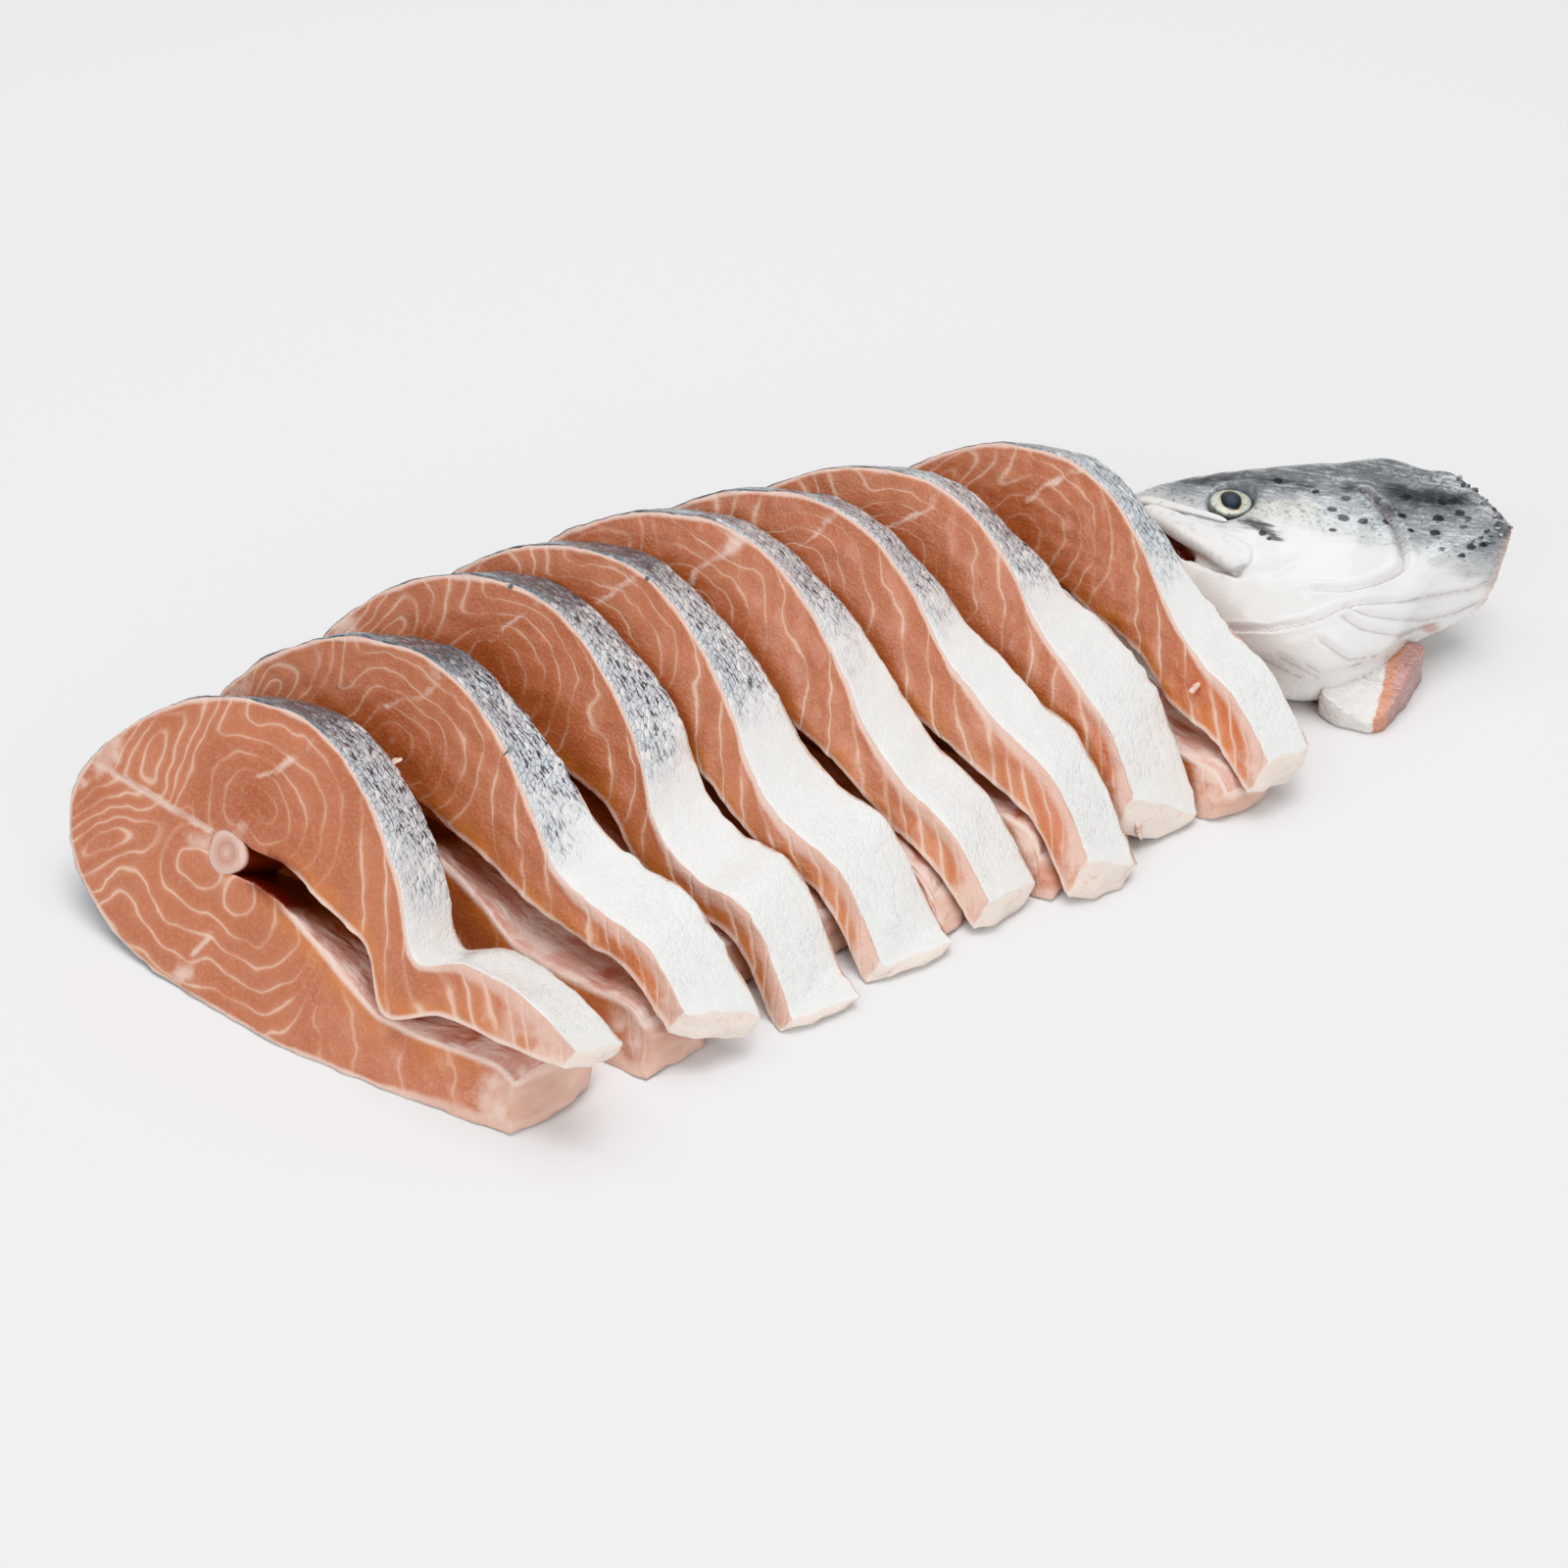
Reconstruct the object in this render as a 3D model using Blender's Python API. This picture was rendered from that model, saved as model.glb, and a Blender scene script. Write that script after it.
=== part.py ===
"""A raw salmon cut across into eight thick steaks that lean in a row, with the head lying beyond them.

Lengths are in millimetres until a mesh is made. The row runs along +X from the tail end to the head, the backs
of the steaks are on the +Y side, their belly flaps on the -Y side, and everything lies on z = 0.
"""

import math
from collections import namedtuple

import bmesh
import bpy
import numpy as np

MM = 0.001

# Middle of the footprint in the coordinates of the places below; the part's own origin is moved there
FOOTPRINT_MIDDLE = (57.85, -30.37)

# Section of a steak, measured from the centre of the backbone: "along" towards the belly, "up" to the upper flank
BACK_REACH = 59.5
FLANK_RISE = 46.0
BONE_RADIUS = 6.2
POCKET_RADIUS = 6.8
POCKET_MOUTH = 30.0
SQUASH_BELOW = -10.0
LEVEL_FROM_TO = (35.0, 70.0)
FLAP_THICK = 19.0
FLAP_THIN = 3.0
FLAP_GAP = 2.0
FLAP_RIBS = 6
UPPER_RIBS = 9
TUCK_STEPS = 4
FACE_WAVE = 0.5

# Where a steak stands, how it leans and how its two belly flaps run
Steak = namedtuple(
    "Steak",
    "x y yaw lean size thick flare level bone_z neck crest drop reach tip flap tip_flap skew low_reach swing",
)
STEAKS = (
    Steak(-129, -8, 24, 34, 1.00, 22, 0.8, 0.3, 36.0, -1, 5, 4, 133, -2, 17, 6, 2, 116, 11),
    Steak(-86, -2, 27, 29, 1.00, 18, 1.2, 1.0, 37.0, 3, -2, -6, 124, -20, 11, 8, 13, 118, 0),
    Steak(-47, 9, 27, 29, 1.00, 20, 1.1, 1.0, 37.8, -4, -13, -18, 133, -43, 10, 6, 10, 108, 0),
    Steak(-17, 9, 28, 29, 1.00, 19, 1.3, 1.0, 38.0, 0, -10, -17, 128, -38, 11, 8, 12, 110, 0),
    Steak(16, 7, 30.7, 30.6, 1.03, 17.5, 1.1, 1.0, 38.0, 4, -8, -17, 126, -34, 13, 9, 5, 120, -4),
    Steak(48, 3, 30.8, 31.3, 1.02, 16, 1.1, 1.0, 38.0, 8, -1, -10, 124, -30, 16, 13, 9, 114, 0),
    Steak(82, 1, 29, 32, 1.00, 18, 1.4, 1.0, 37.4, 7, -4, -13, 106, -25, 15, 11, 13, 110, -2),
    Steak(131, -4, 24, 30, 0.93, 17, 1.0, 1.0, 36.0, 2, -5, -12, 107, -20, 15, 12, 4, 104, -3),
)
LOW_SKEW = 6.0
NECK_AT = 72.0
CREST_AT = 88.0
DROP_AT = 0.5
SPANS_PER_RIB = 2
DEPTH_STEPS = 3
THICK_STEPS = 2

# The head lies on its right side: u from the snout back, v to the top of the head, origin under the left eye
HEAD_AT = (206.0, -19.5)
HEAD_YAW = -46.0
HEAD_MID = 27.0
HEAD_ROLL = 0.3
HEAD_OUTLINE = (
    (-46, 3), (-33, 14), (-16, 21), (8, 26), (33, 31), (50, 36), (61, 34), (75, 26), (87, 15),
    (79, 5), (67, -6), (56, -24), (40, -37), (22, -39), (0, -34), (-22, -25), (-42, -12),
)
HEAD_CENTRE = (22.0, 2.0)
HALF_WIDTHS = ((-46, 8), (-25, 15), (0, 21), (20, 25), (42, 27), (60, 25), (87, 20))
HEAD_SPOKES = 56
HEAD_RINGS = 13
HEAD_UNDER_RINGS = 6
REAR_WALL = 17.0
EYE_RADIUS = 7.6
EYE_BULGE = 3.2
EYE_RIM = 1.6
SOCKET_FLOOR = 43.5
SOCKET_PLAY = 0.5
JAW_BONE = ((-26, -2), (-8, -9), (9, -16))
JAW_BONE_WIDTH = 4.6
MOUTH = ((-44, -4), (-18, -12), (0, -20), (14, -25))
GILL_EDGE = ((36, 18), (45, 8), (56, -6), (57, -17), (48, -28), (33, -32), (12, -32))
COLLAR = ((40, -26), (62, -4), (69, -16), (64, -32), (57, -41), (46, -40), (40, -35))
COLLAR_TOP = 13.0


def material(name, colour, roughness):
    """Make a plain Principled material of one colour."""
    made = bpy.data.materials.new(name)
    made.use_nodes = True
    shader = made.node_tree.nodes["Principled BSDF"]
    shader.inputs["Base Color"].default_value = (*colour, 1.0)
    shader.inputs["Roughness"].default_value = roughness
    made.diffuse_color = (*colour, 1.0)
    return made


def smooth_curve(points, spans, closed=False):
    """Sample a Catmull-Rom curve through the points, with the given number of spans between two of them."""
    pts = np.array(points, float)
    if closed:
        padded = np.vstack([pts[-1], pts, pts[0], pts[1]])
    else:
        padded = np.vstack([2 * pts[0] - pts[1], pts, 2 * pts[-1] - pts[-2]])
    out = []
    for k in range(len(padded) - 3):
        a, b, c, d = padded[k : k + 4]
        for step in range(spans):
            t = step / spans
            out.append(
                0.5 * (2 * b + (c - a) * t + (2 * a - 5 * b + 4 * c - d) * t * t
                       + (3 * b - a - 3 * c + d) * t ** 3)
            )
    if not closed:
        out.append(pts[-1])
    return np.array(out)


def pocket(angle):
    """Point on the round pocket that holds the backbone, at an angle from the belly side."""
    turn = math.radians(angle)
    return POCKET_RADIUS * math.cos(turn), POCKET_RADIUS * math.sin(turn)


def section_ribs(cut, share):
    """List the ribs of a steak as (skin point, cavity point), from the lower flap's tip round the back.

    The share runs from the tail-side face, 0, to the head-side face, 1, where the flaps reach further.
    """
    floor = -cut.bone_z / math.cos(math.radians(cut.lean)) / cut.size
    drop_at = CREST_AT + DROP_AT * (cut.reach - CREST_AT)
    reach = cut.reach + cut.skew * share
    tip = cut.tip + (cut.tip - cut.drop) / (cut.reach - drop_at) * cut.skew * share
    lowest = floor * cut.size + FLAP_THIN + FLAP_GAP
    under = ((drop_at - 4, cut.drop - 0.85 * cut.flap), (reach - 3, tip - cut.tip_flap))
    low = cut.low_reach + LOW_SKEW * share
    if under[1][1] < lowest:
        meets = (under[0][1] - lowest) / (under[0][1] - under[1][1])
        low = min(low, (under[0][0] + meets * (under[1][0] - under[0][0])) / cut.size)
    ribs = [
        ((low, floor), (low - 5, floor + FLAP_THICK * 0.8)),
        ((low - 12, floor), (low - 14, floor + FLAP_THICK)),
        ((low - 28, floor), (low - 28, floor + FLAP_THICK)),
        ((68, floor), (67, floor + FLAP_THICK + 1)),
        ((50, floor), (54, floor + FLAP_THICK + 7)),
        ((32, floor), (41, -11)),
        ((13, floor), (27, -6)),
        ((-8, floor + 0.5), (14, -4)),
    ]
    lower_back = [(-27, floor + 4), (-42, floor + 12), (-53, floor + 21)]
    ribs += [(skin, pocket(-POCKET_MOUTH - 25 - 35 * k)) for k, skin in enumerate(lower_back)]
    ribs.append(((-BACK_REACH, -9), pocket(180)))
    upper_back = [(-57, 5), (-49, 18), (-37, 30), (-21, 40)]
    ribs += [(skin, pocket(145 - 32 * k)) for k, skin in enumerate(upper_back)]
    ribs += [
        ((-4, FLANK_RISE - 1), (11, 4.5)),
        ((12, FLANK_RISE), (22, 4.5)),
        ((29, 41), (33, 1)),
        ((45, 30), (45, -2)),
        ((59, 16), (56, -6)),
    ]
    ribs = [(np.array(skin) * cut.size, np.array(inside)) for skin, inside in ribs]
    ribs += [
        ((NECK_AT, cut.neck), (NECK_AT - 4, cut.neck - cut.flap - 2)),
        ((CREST_AT, cut.crest), (CREST_AT - 2, cut.crest - cut.flap)),
        ((drop_at, cut.drop), (drop_at - 4, cut.drop - 0.85 * cut.flap)),
        ((reach, tip), (reach - 3, tip - cut.tip_flap)),
    ]
    return tuck_lower_flap(cut, ribs, floor * cut.size, share)


def ramp(value, start, end):
    """Share of the way from start to end, held between 0 and 1."""
    return min(max((value - start) / (end - start), 0.0), 1.0)


def tuck_lower_flap(cut, ribs, floor, share):
    """Thin the lower flap where the upper one presses on it, so that a gap stays between them."""
    under = np.array([inside for _, inside in ribs[-UPPER_RIBS:]], float)
    tucked = list(ribs)
    depth = cut.thick * share
    for k in range(FLAP_RIBS):
        skin, (along, up) = ribs[k]
        below = float(np.interp(along, under[:, 0], under[:, 1]))
        low_depth = depth + cut.swing * ramp(along, LEVEL_FROM_TO[0], cut.low_reach) ** 1.2
        roof = lay_over(cut, along, below, low_depth / max(cut.flare, 1.0), upper=True)[1] - FLAP_GAP
        for _ in range(TUCK_STEPS):
            up -= max(lay_over(cut, along, up, depth, upper=False)[1] - roof, 0.0)
        tucked[k] = (skin, np.array((along, max(up, floor + FLAP_THIN))))
    return tucked


def lay_over(cut, along, up, depth, upper):
    """Shear a point of the section: the flaps lie level through their thickness, and the underside lies flat."""
    lean = math.radians(cut.lean)
    floor = -cut.bone_z / math.cos(lean)
    if upper:
        level = cut.level * ramp(along, *LEVEL_FROM_TO)
        depth *= 1 + (cut.flare - 1) * ramp(along, LEVEL_FROM_TO[0], cut.reach)
    else:
        level = ramp(along, *LEVEL_FROM_TO)
        depth += cut.swing * ramp(along, LEVEL_FROM_TO[0], cut.low_reach) ** 1.2
    level = max(level, ramp(up, SQUASH_BELOW, floor))
    return along, up + level * depth * math.tan(lean), depth


def steak_place(cut, along, up, depth):
    """Turn section coordinates and a depth below the tail-side face into a point of the row."""
    yaw = math.radians(cut.yaw)
    lean = math.radians(cut.lean)
    across = depth * math.cos(lean) + up * math.sin(lean)
    return (
        cut.x + across * math.cos(yaw) + along * math.sin(yaw),
        cut.y + across * math.sin(yaw) - along * math.cos(yaw),
        max(cut.bone_z + up * math.cos(lean) - depth * math.sin(lean), 0.0),
    )


def face_wave(number, along, up):
    """Height of the gentle waves that the knife leaves in a cut face."""
    return FACE_WAVE * math.sin(along / 11.0 + 1.7 * number) * math.cos(up / 13.0 + 0.9 * number)


def add_object(name, verts, faces, finish):
    """Make a smooth-shaded object from points in millimetres, with its faces turned out."""
    mesh = bpy.data.meshes.new(name)
    moved = [(x - FOOTPRINT_MIDDLE[0], y - FOOTPRINT_MIDDLE[1], z) for x, y, z in verts]
    mesh.from_pydata([tuple(MM * c for c in v) for v in moved], [], faces)
    made = bmesh.new()
    made.from_mesh(mesh)
    bmesh.ops.recalc_face_normals(made, faces=made.faces)
    bmesh.ops.triangulate(made, faces=made.faces, quad_method="SHORT_EDGE")
    if made.calc_volume(signed=True) < 0:
        bmesh.ops.reverse_faces(made, faces=made.faces)
    made.to_mesh(mesh)
    made.free()
    mesh.shade_smooth()
    mesh.set_sharp_from_angle(angle=math.radians(50))
    mesh.materials.append(finish)
    placed = bpy.data.objects.new(name, mesh)
    bpy.context.scene.collection.objects.link(placed)
    return placed


def steak(number, cut, finish):
    """Build one steak as a closed lattice: along the horseshoe, from cavity to skin, and through its thickness."""
    layers = []
    for c in range(THICK_STEPS + 1):
        ribs = section_ribs(cut, c / THICK_STEPS)
        layers.append([smooth_curve([rib[side] for rib in ribs], SPANS_PER_RIB) for side in (0, 1)])
    last = len(layers[0][0]) - 1
    verts = []
    index = {}
    for a in range(last + 1):
        for d in range(DEPTH_STEPS + 1):
            for c in range(THICK_STEPS + 1):
                if 0 < a < last and 0 < d < DEPTH_STEPS and 0 < c < THICK_STEPS:
                    continue
                share = d / DEPTH_STEPS
                skin, cavity = layers[c]
                along, up = cavity[a] * (1 - share) + skin[a] * share
                depth = cut.thick * c / THICK_STEPS
                edge = math.sin(math.pi * share)
                depth += face_wave(number, along, up) * edge * (1 - 2 * c / THICK_STEPS)
                index[a, d, c] = len(verts)
                verts.append(steak_place(cut, *lay_over(cut, along, up, depth, upper=a > last / 2)))
    faces = []
    for a in range(last):
        for d in range(DEPTH_STEPS):
            for c in (0, THICK_STEPS):
                faces.append([index[a, d, c], index[a + 1, d, c], index[a + 1, d + 1, c], index[a, d + 1, c]])
        for c in range(THICK_STEPS):
            for d in (0, DEPTH_STEPS):
                faces.append([index[a, d, c], index[a + 1, d, c], index[a + 1, d, c + 1], index[a, d, c + 1]])
    for d in range(DEPTH_STEPS):
        for c in range(THICK_STEPS):
            for a in (0, last):
                faces.append([index[a, d, c], index[a, d + 1, c], index[a, d + 1, c + 1], index[a, d, c + 1]])
    return add_object(f"steak_{number}", verts, faces, finish)


def backbone(number, cut, finish, sides=20):
    """Build the disc of backbone that runs through a steak."""
    verts = []
    for depth in (-0.3, cut.thick - 0.3):
        for k in range(sides):
            turn = 2 * math.pi * k / sides
            verts.append(
                steak_place(cut, BONE_RADIUS * math.cos(turn), BONE_RADIUS * math.sin(turn), depth)
            )
    faces = [list(range(sides)), list(range(sides, 2 * sides))]
    faces += [[k, (k + 1) % sides, sides + (k + 1) % sides, sides + k] for k in range(sides)]
    return add_object(f"backbone_{number}", verts, faces, finish)


def near_line(u, v, line):
    """Distance from a point of the head's side to a line through a few points."""
    best = math.inf
    for (au, av), (bu, bv) in zip(line, line[1:]):
        run = (bu - au, bv - av)
        share = ((u - au) * run[0] + (v - av) * run[1]) / (run[0] ** 2 + run[1] ** 2)
        share = min(max(share, 0.0), 1.0)
        best = min(best, math.hypot(u - au - share * run[0], v - av - share * run[1]))
    return best


def head_place(u, v, z):
    """Turn the head's own coordinates into a point of the row."""
    yaw = math.radians(HEAD_YAW)
    return (
        HEAD_AT[0] + u * math.cos(yaw) - v * math.sin(yaw),
        HEAD_AT[1] + u * math.sin(yaw) + v * math.cos(yaw),
        z,
    )


def head_relief(u, v):
    """Height that the mouth, the jaw bone and the gill cover add to the side of the head."""
    relief = -3.5 * math.exp(-((near_line(u, v, MOUTH) / 2.6) ** 2))
    relief += 2.4 * math.exp(-((near_line(u, v, JAW_BONE) / JAW_BONE_WIDTH) ** 4))
    relief -= 1.6 * math.exp(-((near_line(u, v, GILL_EDGE) / 3.0) ** 2))
    return relief


def head(finish):
    """Build the head as a pillow round its outline, with a cut wall behind and the collar fused to its throat."""
    outline = smooth_curve(HEAD_OUTLINE, 12, closed=True)
    angles = np.arctan2(outline[:, 1] - HEAD_CENTRE[1], outline[:, 0] - HEAD_CENTRE[0])
    order = np.argsort(angles)
    widths = np.array(HALF_WIDTHS, float)
    verts = []
    rings = []

    def add_ring(reach, rise, side):
        ring = []
        for k in range(HEAD_SPOKES):
            angle = -math.pi + 2 * math.pi * (k + 0.5) / HEAD_SPOKES
            edge_u = np.interp(angle, angles[order], outline[order, 0], period=2 * math.pi)
            edge_v = np.interp(angle, angles[order], outline[order, 1], period=2 * math.pi)
            u = HEAD_CENTRE[0] + reach * (edge_u - HEAD_CENTRE[0])
            v = HEAD_CENTRE[1] + reach * (edge_v - HEAD_CENTRE[1])
            half = float(np.interp(u, widths[:, 0], widths[:, 1]))
            rear = min(max((edge_u - 58.0) / 12.0, 0.0), 1.0)
            height = half * rise * (1 - rear) + rear * max(half * rise, REAR_WALL)
            z = HEAD_MID + HEAD_ROLL * v + side * height
            if side > 0:
                z += head_relief(u, v) * min(1.0, 3 * rise)
            ring.append(len(verts))
            verts.append(head_place(u, v, max(z, 0.0)))
        rings.append(ring)

    for r in range(1, HEAD_RINGS + 1):
        turn = 0.5 * math.pi * r / HEAD_RINGS
        add_ring(math.sin(turn), math.cos(turn) ** 0.75 if r < HEAD_RINGS else 0.0, 1)
    for r in range(HEAD_UNDER_RINGS - 1, 0, -1):
        turn = 0.5 * math.pi * r / HEAD_UNDER_RINGS
        add_ring(math.sin(turn), math.cos(turn) ** 0.75, -1)
    faces = []
    for ring, following in zip(rings, rings[1:]):
        for k in range(HEAD_SPOKES):
            n = (k + 1) % HEAD_SPOKES
            faces.append([ring[k], ring[n], following[n], following[k]])
    for ring, side in ((rings[0], 1), (rings[-1], -1)):
        half = float(np.interp(HEAD_CENTRE[0], widths[:, 0], widths[:, 1]))
        middle = len(verts)
        verts.append(head_place(*HEAD_CENTRE, max(HEAD_MID + HEAD_ROLL * HEAD_CENTRE[1] + side * half, 0.0)))
        faces += [[ring[k], ring[(k + 1) % HEAD_SPOKES], middle] for k in range(HEAD_SPOKES)]
    return add_object("head", verts, faces, finish)


def collar(finish):
    """Build the wedge of collar that hangs from the throat onto the table."""
    outline = smooth_curve(COLLAR, 4, closed=True)
    centre = outline.mean(axis=0)
    verts = []
    for reach, z in ((0.94, 0.0), (1.0, 3.0), (1.0, COLLAR_TOP - 3.0), (0.9, COLLAR_TOP)):
        verts += [head_place(*(centre + reach * (p - centre)), z) for p in outline]
    count = len(outline)
    faces = [list(range(count)), list(range(3 * count, 4 * count))]
    for level in range(3):
        for k in range(count):
            n = (k + 1) % count
            low = level * count
            faces.append([low + k, low + n, low + count + n, low + count + k])
    return add_object("collar", verts, faces, finish)


def turned(name, rings, finish, spokes=20):
    """Build a round piece round the eye's upright axis from rings of (radius, height)."""
    verts = []
    for radius, z in rings:
        for k in range(spokes):
            turn = 2 * math.pi * k / spokes
            verts.append(head_place(radius * math.cos(turn), radius * math.sin(turn), z))
    last = len(rings) - 1
    faces = [list(range(spokes)), list(range(last * spokes, (last + 1) * spokes))]
    for level in range(last):
        low = level * spokes
        for k in range(spokes):
            n = (k + 1) % spokes
            faces.append([low + k, low + n, low + spokes + n, low + spokes + k])
    return add_object(name, verts, faces, finish)


def combine(whole, piece, operation):
    """Join a piece to a whole, or cut it out, by a Boolean, and drop the piece."""
    change = whole.modifiers.new("combine", "BOOLEAN")
    change.operation = operation
    change.object = piece
    with bpy.context.temp_override(object=whole, active_object=whole, selected_objects=[whole]):
        bpy.ops.object.modifier_apply(modifier=change.name)
    bpy.data.objects.remove(piece)


def eye(finish, domes=5):
    """Build the left eye: a low dome on a short rim, standing in its socket."""
    base = SOCKET_FLOOR + 0.3
    rings = [(EYE_RADIUS, base)]
    for step in range(domes):
        tilt = 0.48 * math.pi * step / (domes - 1)
        rings.append((EYE_RADIUS * math.cos(tilt), base + EYE_RIM + EYE_BULGE * math.sin(tilt)))
    return turned("eye", rings, finish)


def main():
    """Clear the scene and build every piece."""
    for old in list(bpy.data.objects):
        bpy.data.objects.remove(old)
    flesh = material("salmon flesh", (0.62, 0.22, 0.12), 0.35)
    bone = material("bone", (0.75, 0.66, 0.56), 0.4)
    skin = material("silver skin", (0.55, 0.57, 0.58), 0.3)
    eyeball = material("eye", (0.05, 0.05, 0.05), 0.1)
    for number, cut in enumerate(STEAKS, start=1):
        steak(number, cut, flesh)
        backbone(number, cut, bone)
    face = head(skin)
    combine(face, collar(skin), "UNION")
    socket = turned("socket", [(EYE_RADIUS + SOCKET_PLAY, SOCKET_FLOOR), (EYE_RADIUS + SOCKET_PLAY, 70)], skin)
    combine(face, socket, "DIFFERENCE")
    eye(eyeball)


main()
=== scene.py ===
"""Looks of a raw salmon cut into eight leaning steaks, with its head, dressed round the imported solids.

Lengths are in millimetres until a mesh is made. A steak is drawn in the coordinates of its own section:
"along" runs from the back to the belly and "up" towards the upper flank, both from the centre of the
backbone. The depth runs from the tail-side cut face to the head-side one.

The shapes carry values at their points, such as the distance from the skin or from the nearest spot. The
finishes read these values, so the same picture comes from any side.
"""

from __future__ import annotations

import logging
import math
from dataclasses import dataclass, field
from enum import Enum

import bmesh
import bpy
import numpy as np
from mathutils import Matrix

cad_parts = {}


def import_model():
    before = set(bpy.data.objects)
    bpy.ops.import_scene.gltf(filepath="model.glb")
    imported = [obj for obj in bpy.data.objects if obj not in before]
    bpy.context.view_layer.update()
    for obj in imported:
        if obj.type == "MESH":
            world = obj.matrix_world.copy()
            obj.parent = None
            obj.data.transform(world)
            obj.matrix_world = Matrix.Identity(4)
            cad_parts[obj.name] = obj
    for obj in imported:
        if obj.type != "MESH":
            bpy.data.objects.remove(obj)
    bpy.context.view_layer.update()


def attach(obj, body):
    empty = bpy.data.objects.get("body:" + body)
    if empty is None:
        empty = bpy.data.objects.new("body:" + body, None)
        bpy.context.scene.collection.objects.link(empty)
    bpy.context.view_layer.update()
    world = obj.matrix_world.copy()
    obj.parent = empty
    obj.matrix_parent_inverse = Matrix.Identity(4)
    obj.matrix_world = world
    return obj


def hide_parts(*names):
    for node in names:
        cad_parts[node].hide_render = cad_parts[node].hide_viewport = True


log = logging.getLogger("salmon")

MM = 0.001
FOOTPRINT_MIDDLE = np.array([57.85, -30.37, 0.0])
BODY = "root"

Colour = tuple[float, float, float]
Point = tuple[float, float, float]
Pair = tuple[float, float]
Line = tuple[Pair, ...]
Socket = bpy.types.NodeSocket
Value = Socket | float
Number = float | np.ndarray


class Slot(Enum):
    """The record's material slots."""

    FLESH = "flesh"
    BONE = "bone"
    SKIN = "silver_skin"
    EYE = "eye"


class Side(Enum):
    """Which finish a side of a steak takes, by its place in the mesh's list of materials."""

    CUT = 0
    SKIN = 1
    LINING = 2


def ramp(value: Number, start: float, end: float) -> np.ndarray:
    """Share of the way from start to end, held between 0 and 1."""
    return np.clip((np.asarray(value, float) - start) / (end - start), 0.0, 1.0)


def smooth_curve(points: np.ndarray, spans: int, closed: bool = False) -> np.ndarray:
    """Sample a Catmull-Rom curve through points.

    Args:
        points: The points, one in a row.
        spans: How many spans lie between two points.
        closed: Whether the curve returns to its first point.

    Returns:
        The sampled points, one in a row.
    """
    pts = np.asarray(points, float)
    if closed:
        padded = np.vstack([pts[-1], pts, pts[0], pts[1]])
    else:
        padded = np.vstack([2 * pts[0] - pts[1], pts, 2 * pts[-1] - pts[-2]])
    t = (np.arange(spans) / spans)[:, None]
    out = []
    for a, b, c, d in zip(padded, padded[1:], padded[2:], padded[3:]):
        square, cube = 2 * a - 5 * b + 4 * c - d, 3 * b - a - 3 * c + d
        out.append(0.5 * (2 * b + (c - a) * t + square * t**2 + cube * t**3))
    if not closed:
        out.append(pts[-1:])
    return np.vstack(out)


def run_length(points: np.ndarray) -> np.ndarray:
    """Distance along a line of points from its first point."""
    return np.concatenate([[0.0], np.cumsum(np.linalg.norm(np.diff(points, axis=0), axis=1))])


def line_distance(points: np.ndarray, line: Line) -> np.ndarray:
    """Distance from points to a line through a few points.

    Args:
        points: Plane points, one in a row.
        line: The line's corner points.

    Returns:
        The distance of each point.
    """
    best = np.full(len(points), np.inf)
    for start, end in zip(np.array(line, float), np.array(line[1:], float)):
        run = end - start
        share = np.clip((points - start) @ run / (run @ run), 0.0, 1.0)
        best = np.minimum(best, np.linalg.norm(points - start - share[:, None] * run, axis=1))
    return best


def soft_lowest(a: np.ndarray, b: np.ndarray, blend: float) -> np.ndarray:
    """Take the lower of two fields, rounded where they meet within the blend's width."""
    near = np.clip(1 - np.abs(a - b) / blend, 0.0, 1.0)
    return np.minimum(a, b) - 0.25 * blend * near * near


class Ruffle:
    """Smooth seeded unevenness: a sum of waves that run in all directions."""

    def __init__(self, seed: int, size: float, waves: int = 14) -> None:
        """Draw the waves.

        Args:
            seed: Start of the random draw.
            size: Usual wave length in millimetres.
            waves: How many waves are added up.
        """
        draw = np.random.default_rng(seed)
        heading = draw.normal(size=(waves, 3))
        heading /= np.linalg.norm(heading, axis=1, keepdims=True)
        self.heading = heading * draw.uniform(0.6, 1.7, (waves, 1)) * 2 * math.pi / size
        self.phase = draw.uniform(0, 2 * math.pi, waves)

    def at(self, points: np.ndarray) -> np.ndarray:
        """Height of the unevenness at points, mostly between -1 and 1."""
        return np.sin(points @ self.heading.T + self.phase).sum(axis=-1) / math.sqrt(len(self.phase))


@dataclass
class Shape:
    """A mesh in the making, with the values that its finishes read at each point."""

    points: np.ndarray
    faces: list[list[int]]
    values: dict[str, np.ndarray] = field(default_factory=dict)
    sides: list[int] | None = None

    def make(self, name: str, finishes: list[bpy.types.Material]) -> bpy.types.Object:
        """Make the object in the part's own frame, smooth and with its faces turned out.

        Args:
            name: Name of the object.
            finishes: Its materials, in the order of Side where it has several.

        Returns:
            The new object.
        """
        mesh = bpy.data.meshes.new(name)
        mesh.from_pydata(((self.points - FOOTPRINT_MIDDLE) * MM).tolist(), [], self.faces)
        for key, value in self.values.items():
            layer = mesh.attributes.new(key, "FLOAT_VECTOR", "POINT")
            layer.data.foreach_set("vector", np.ascontiguousarray(value, np.float32).ravel())
        if self.sides is not None:
            mesh.polygons.foreach_set("material_index", self.sides)
        for finish in finishes:
            mesh.materials.append(finish)
        built = bmesh.new()
        built.from_mesh(mesh)
        bmesh.ops.recalc_face_normals(built, faces=built.faces)
        if built.calc_volume(signed=True) < 0:
            bmesh.ops.reverse_faces(built, faces=built.faces)
        built.to_mesh(mesh)
        built.free()
        mesh.shade_smooth()
        placed = bpy.data.objects.new(name, mesh)
        bpy.context.scene.collection.objects.link(placed)
        return placed


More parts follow.
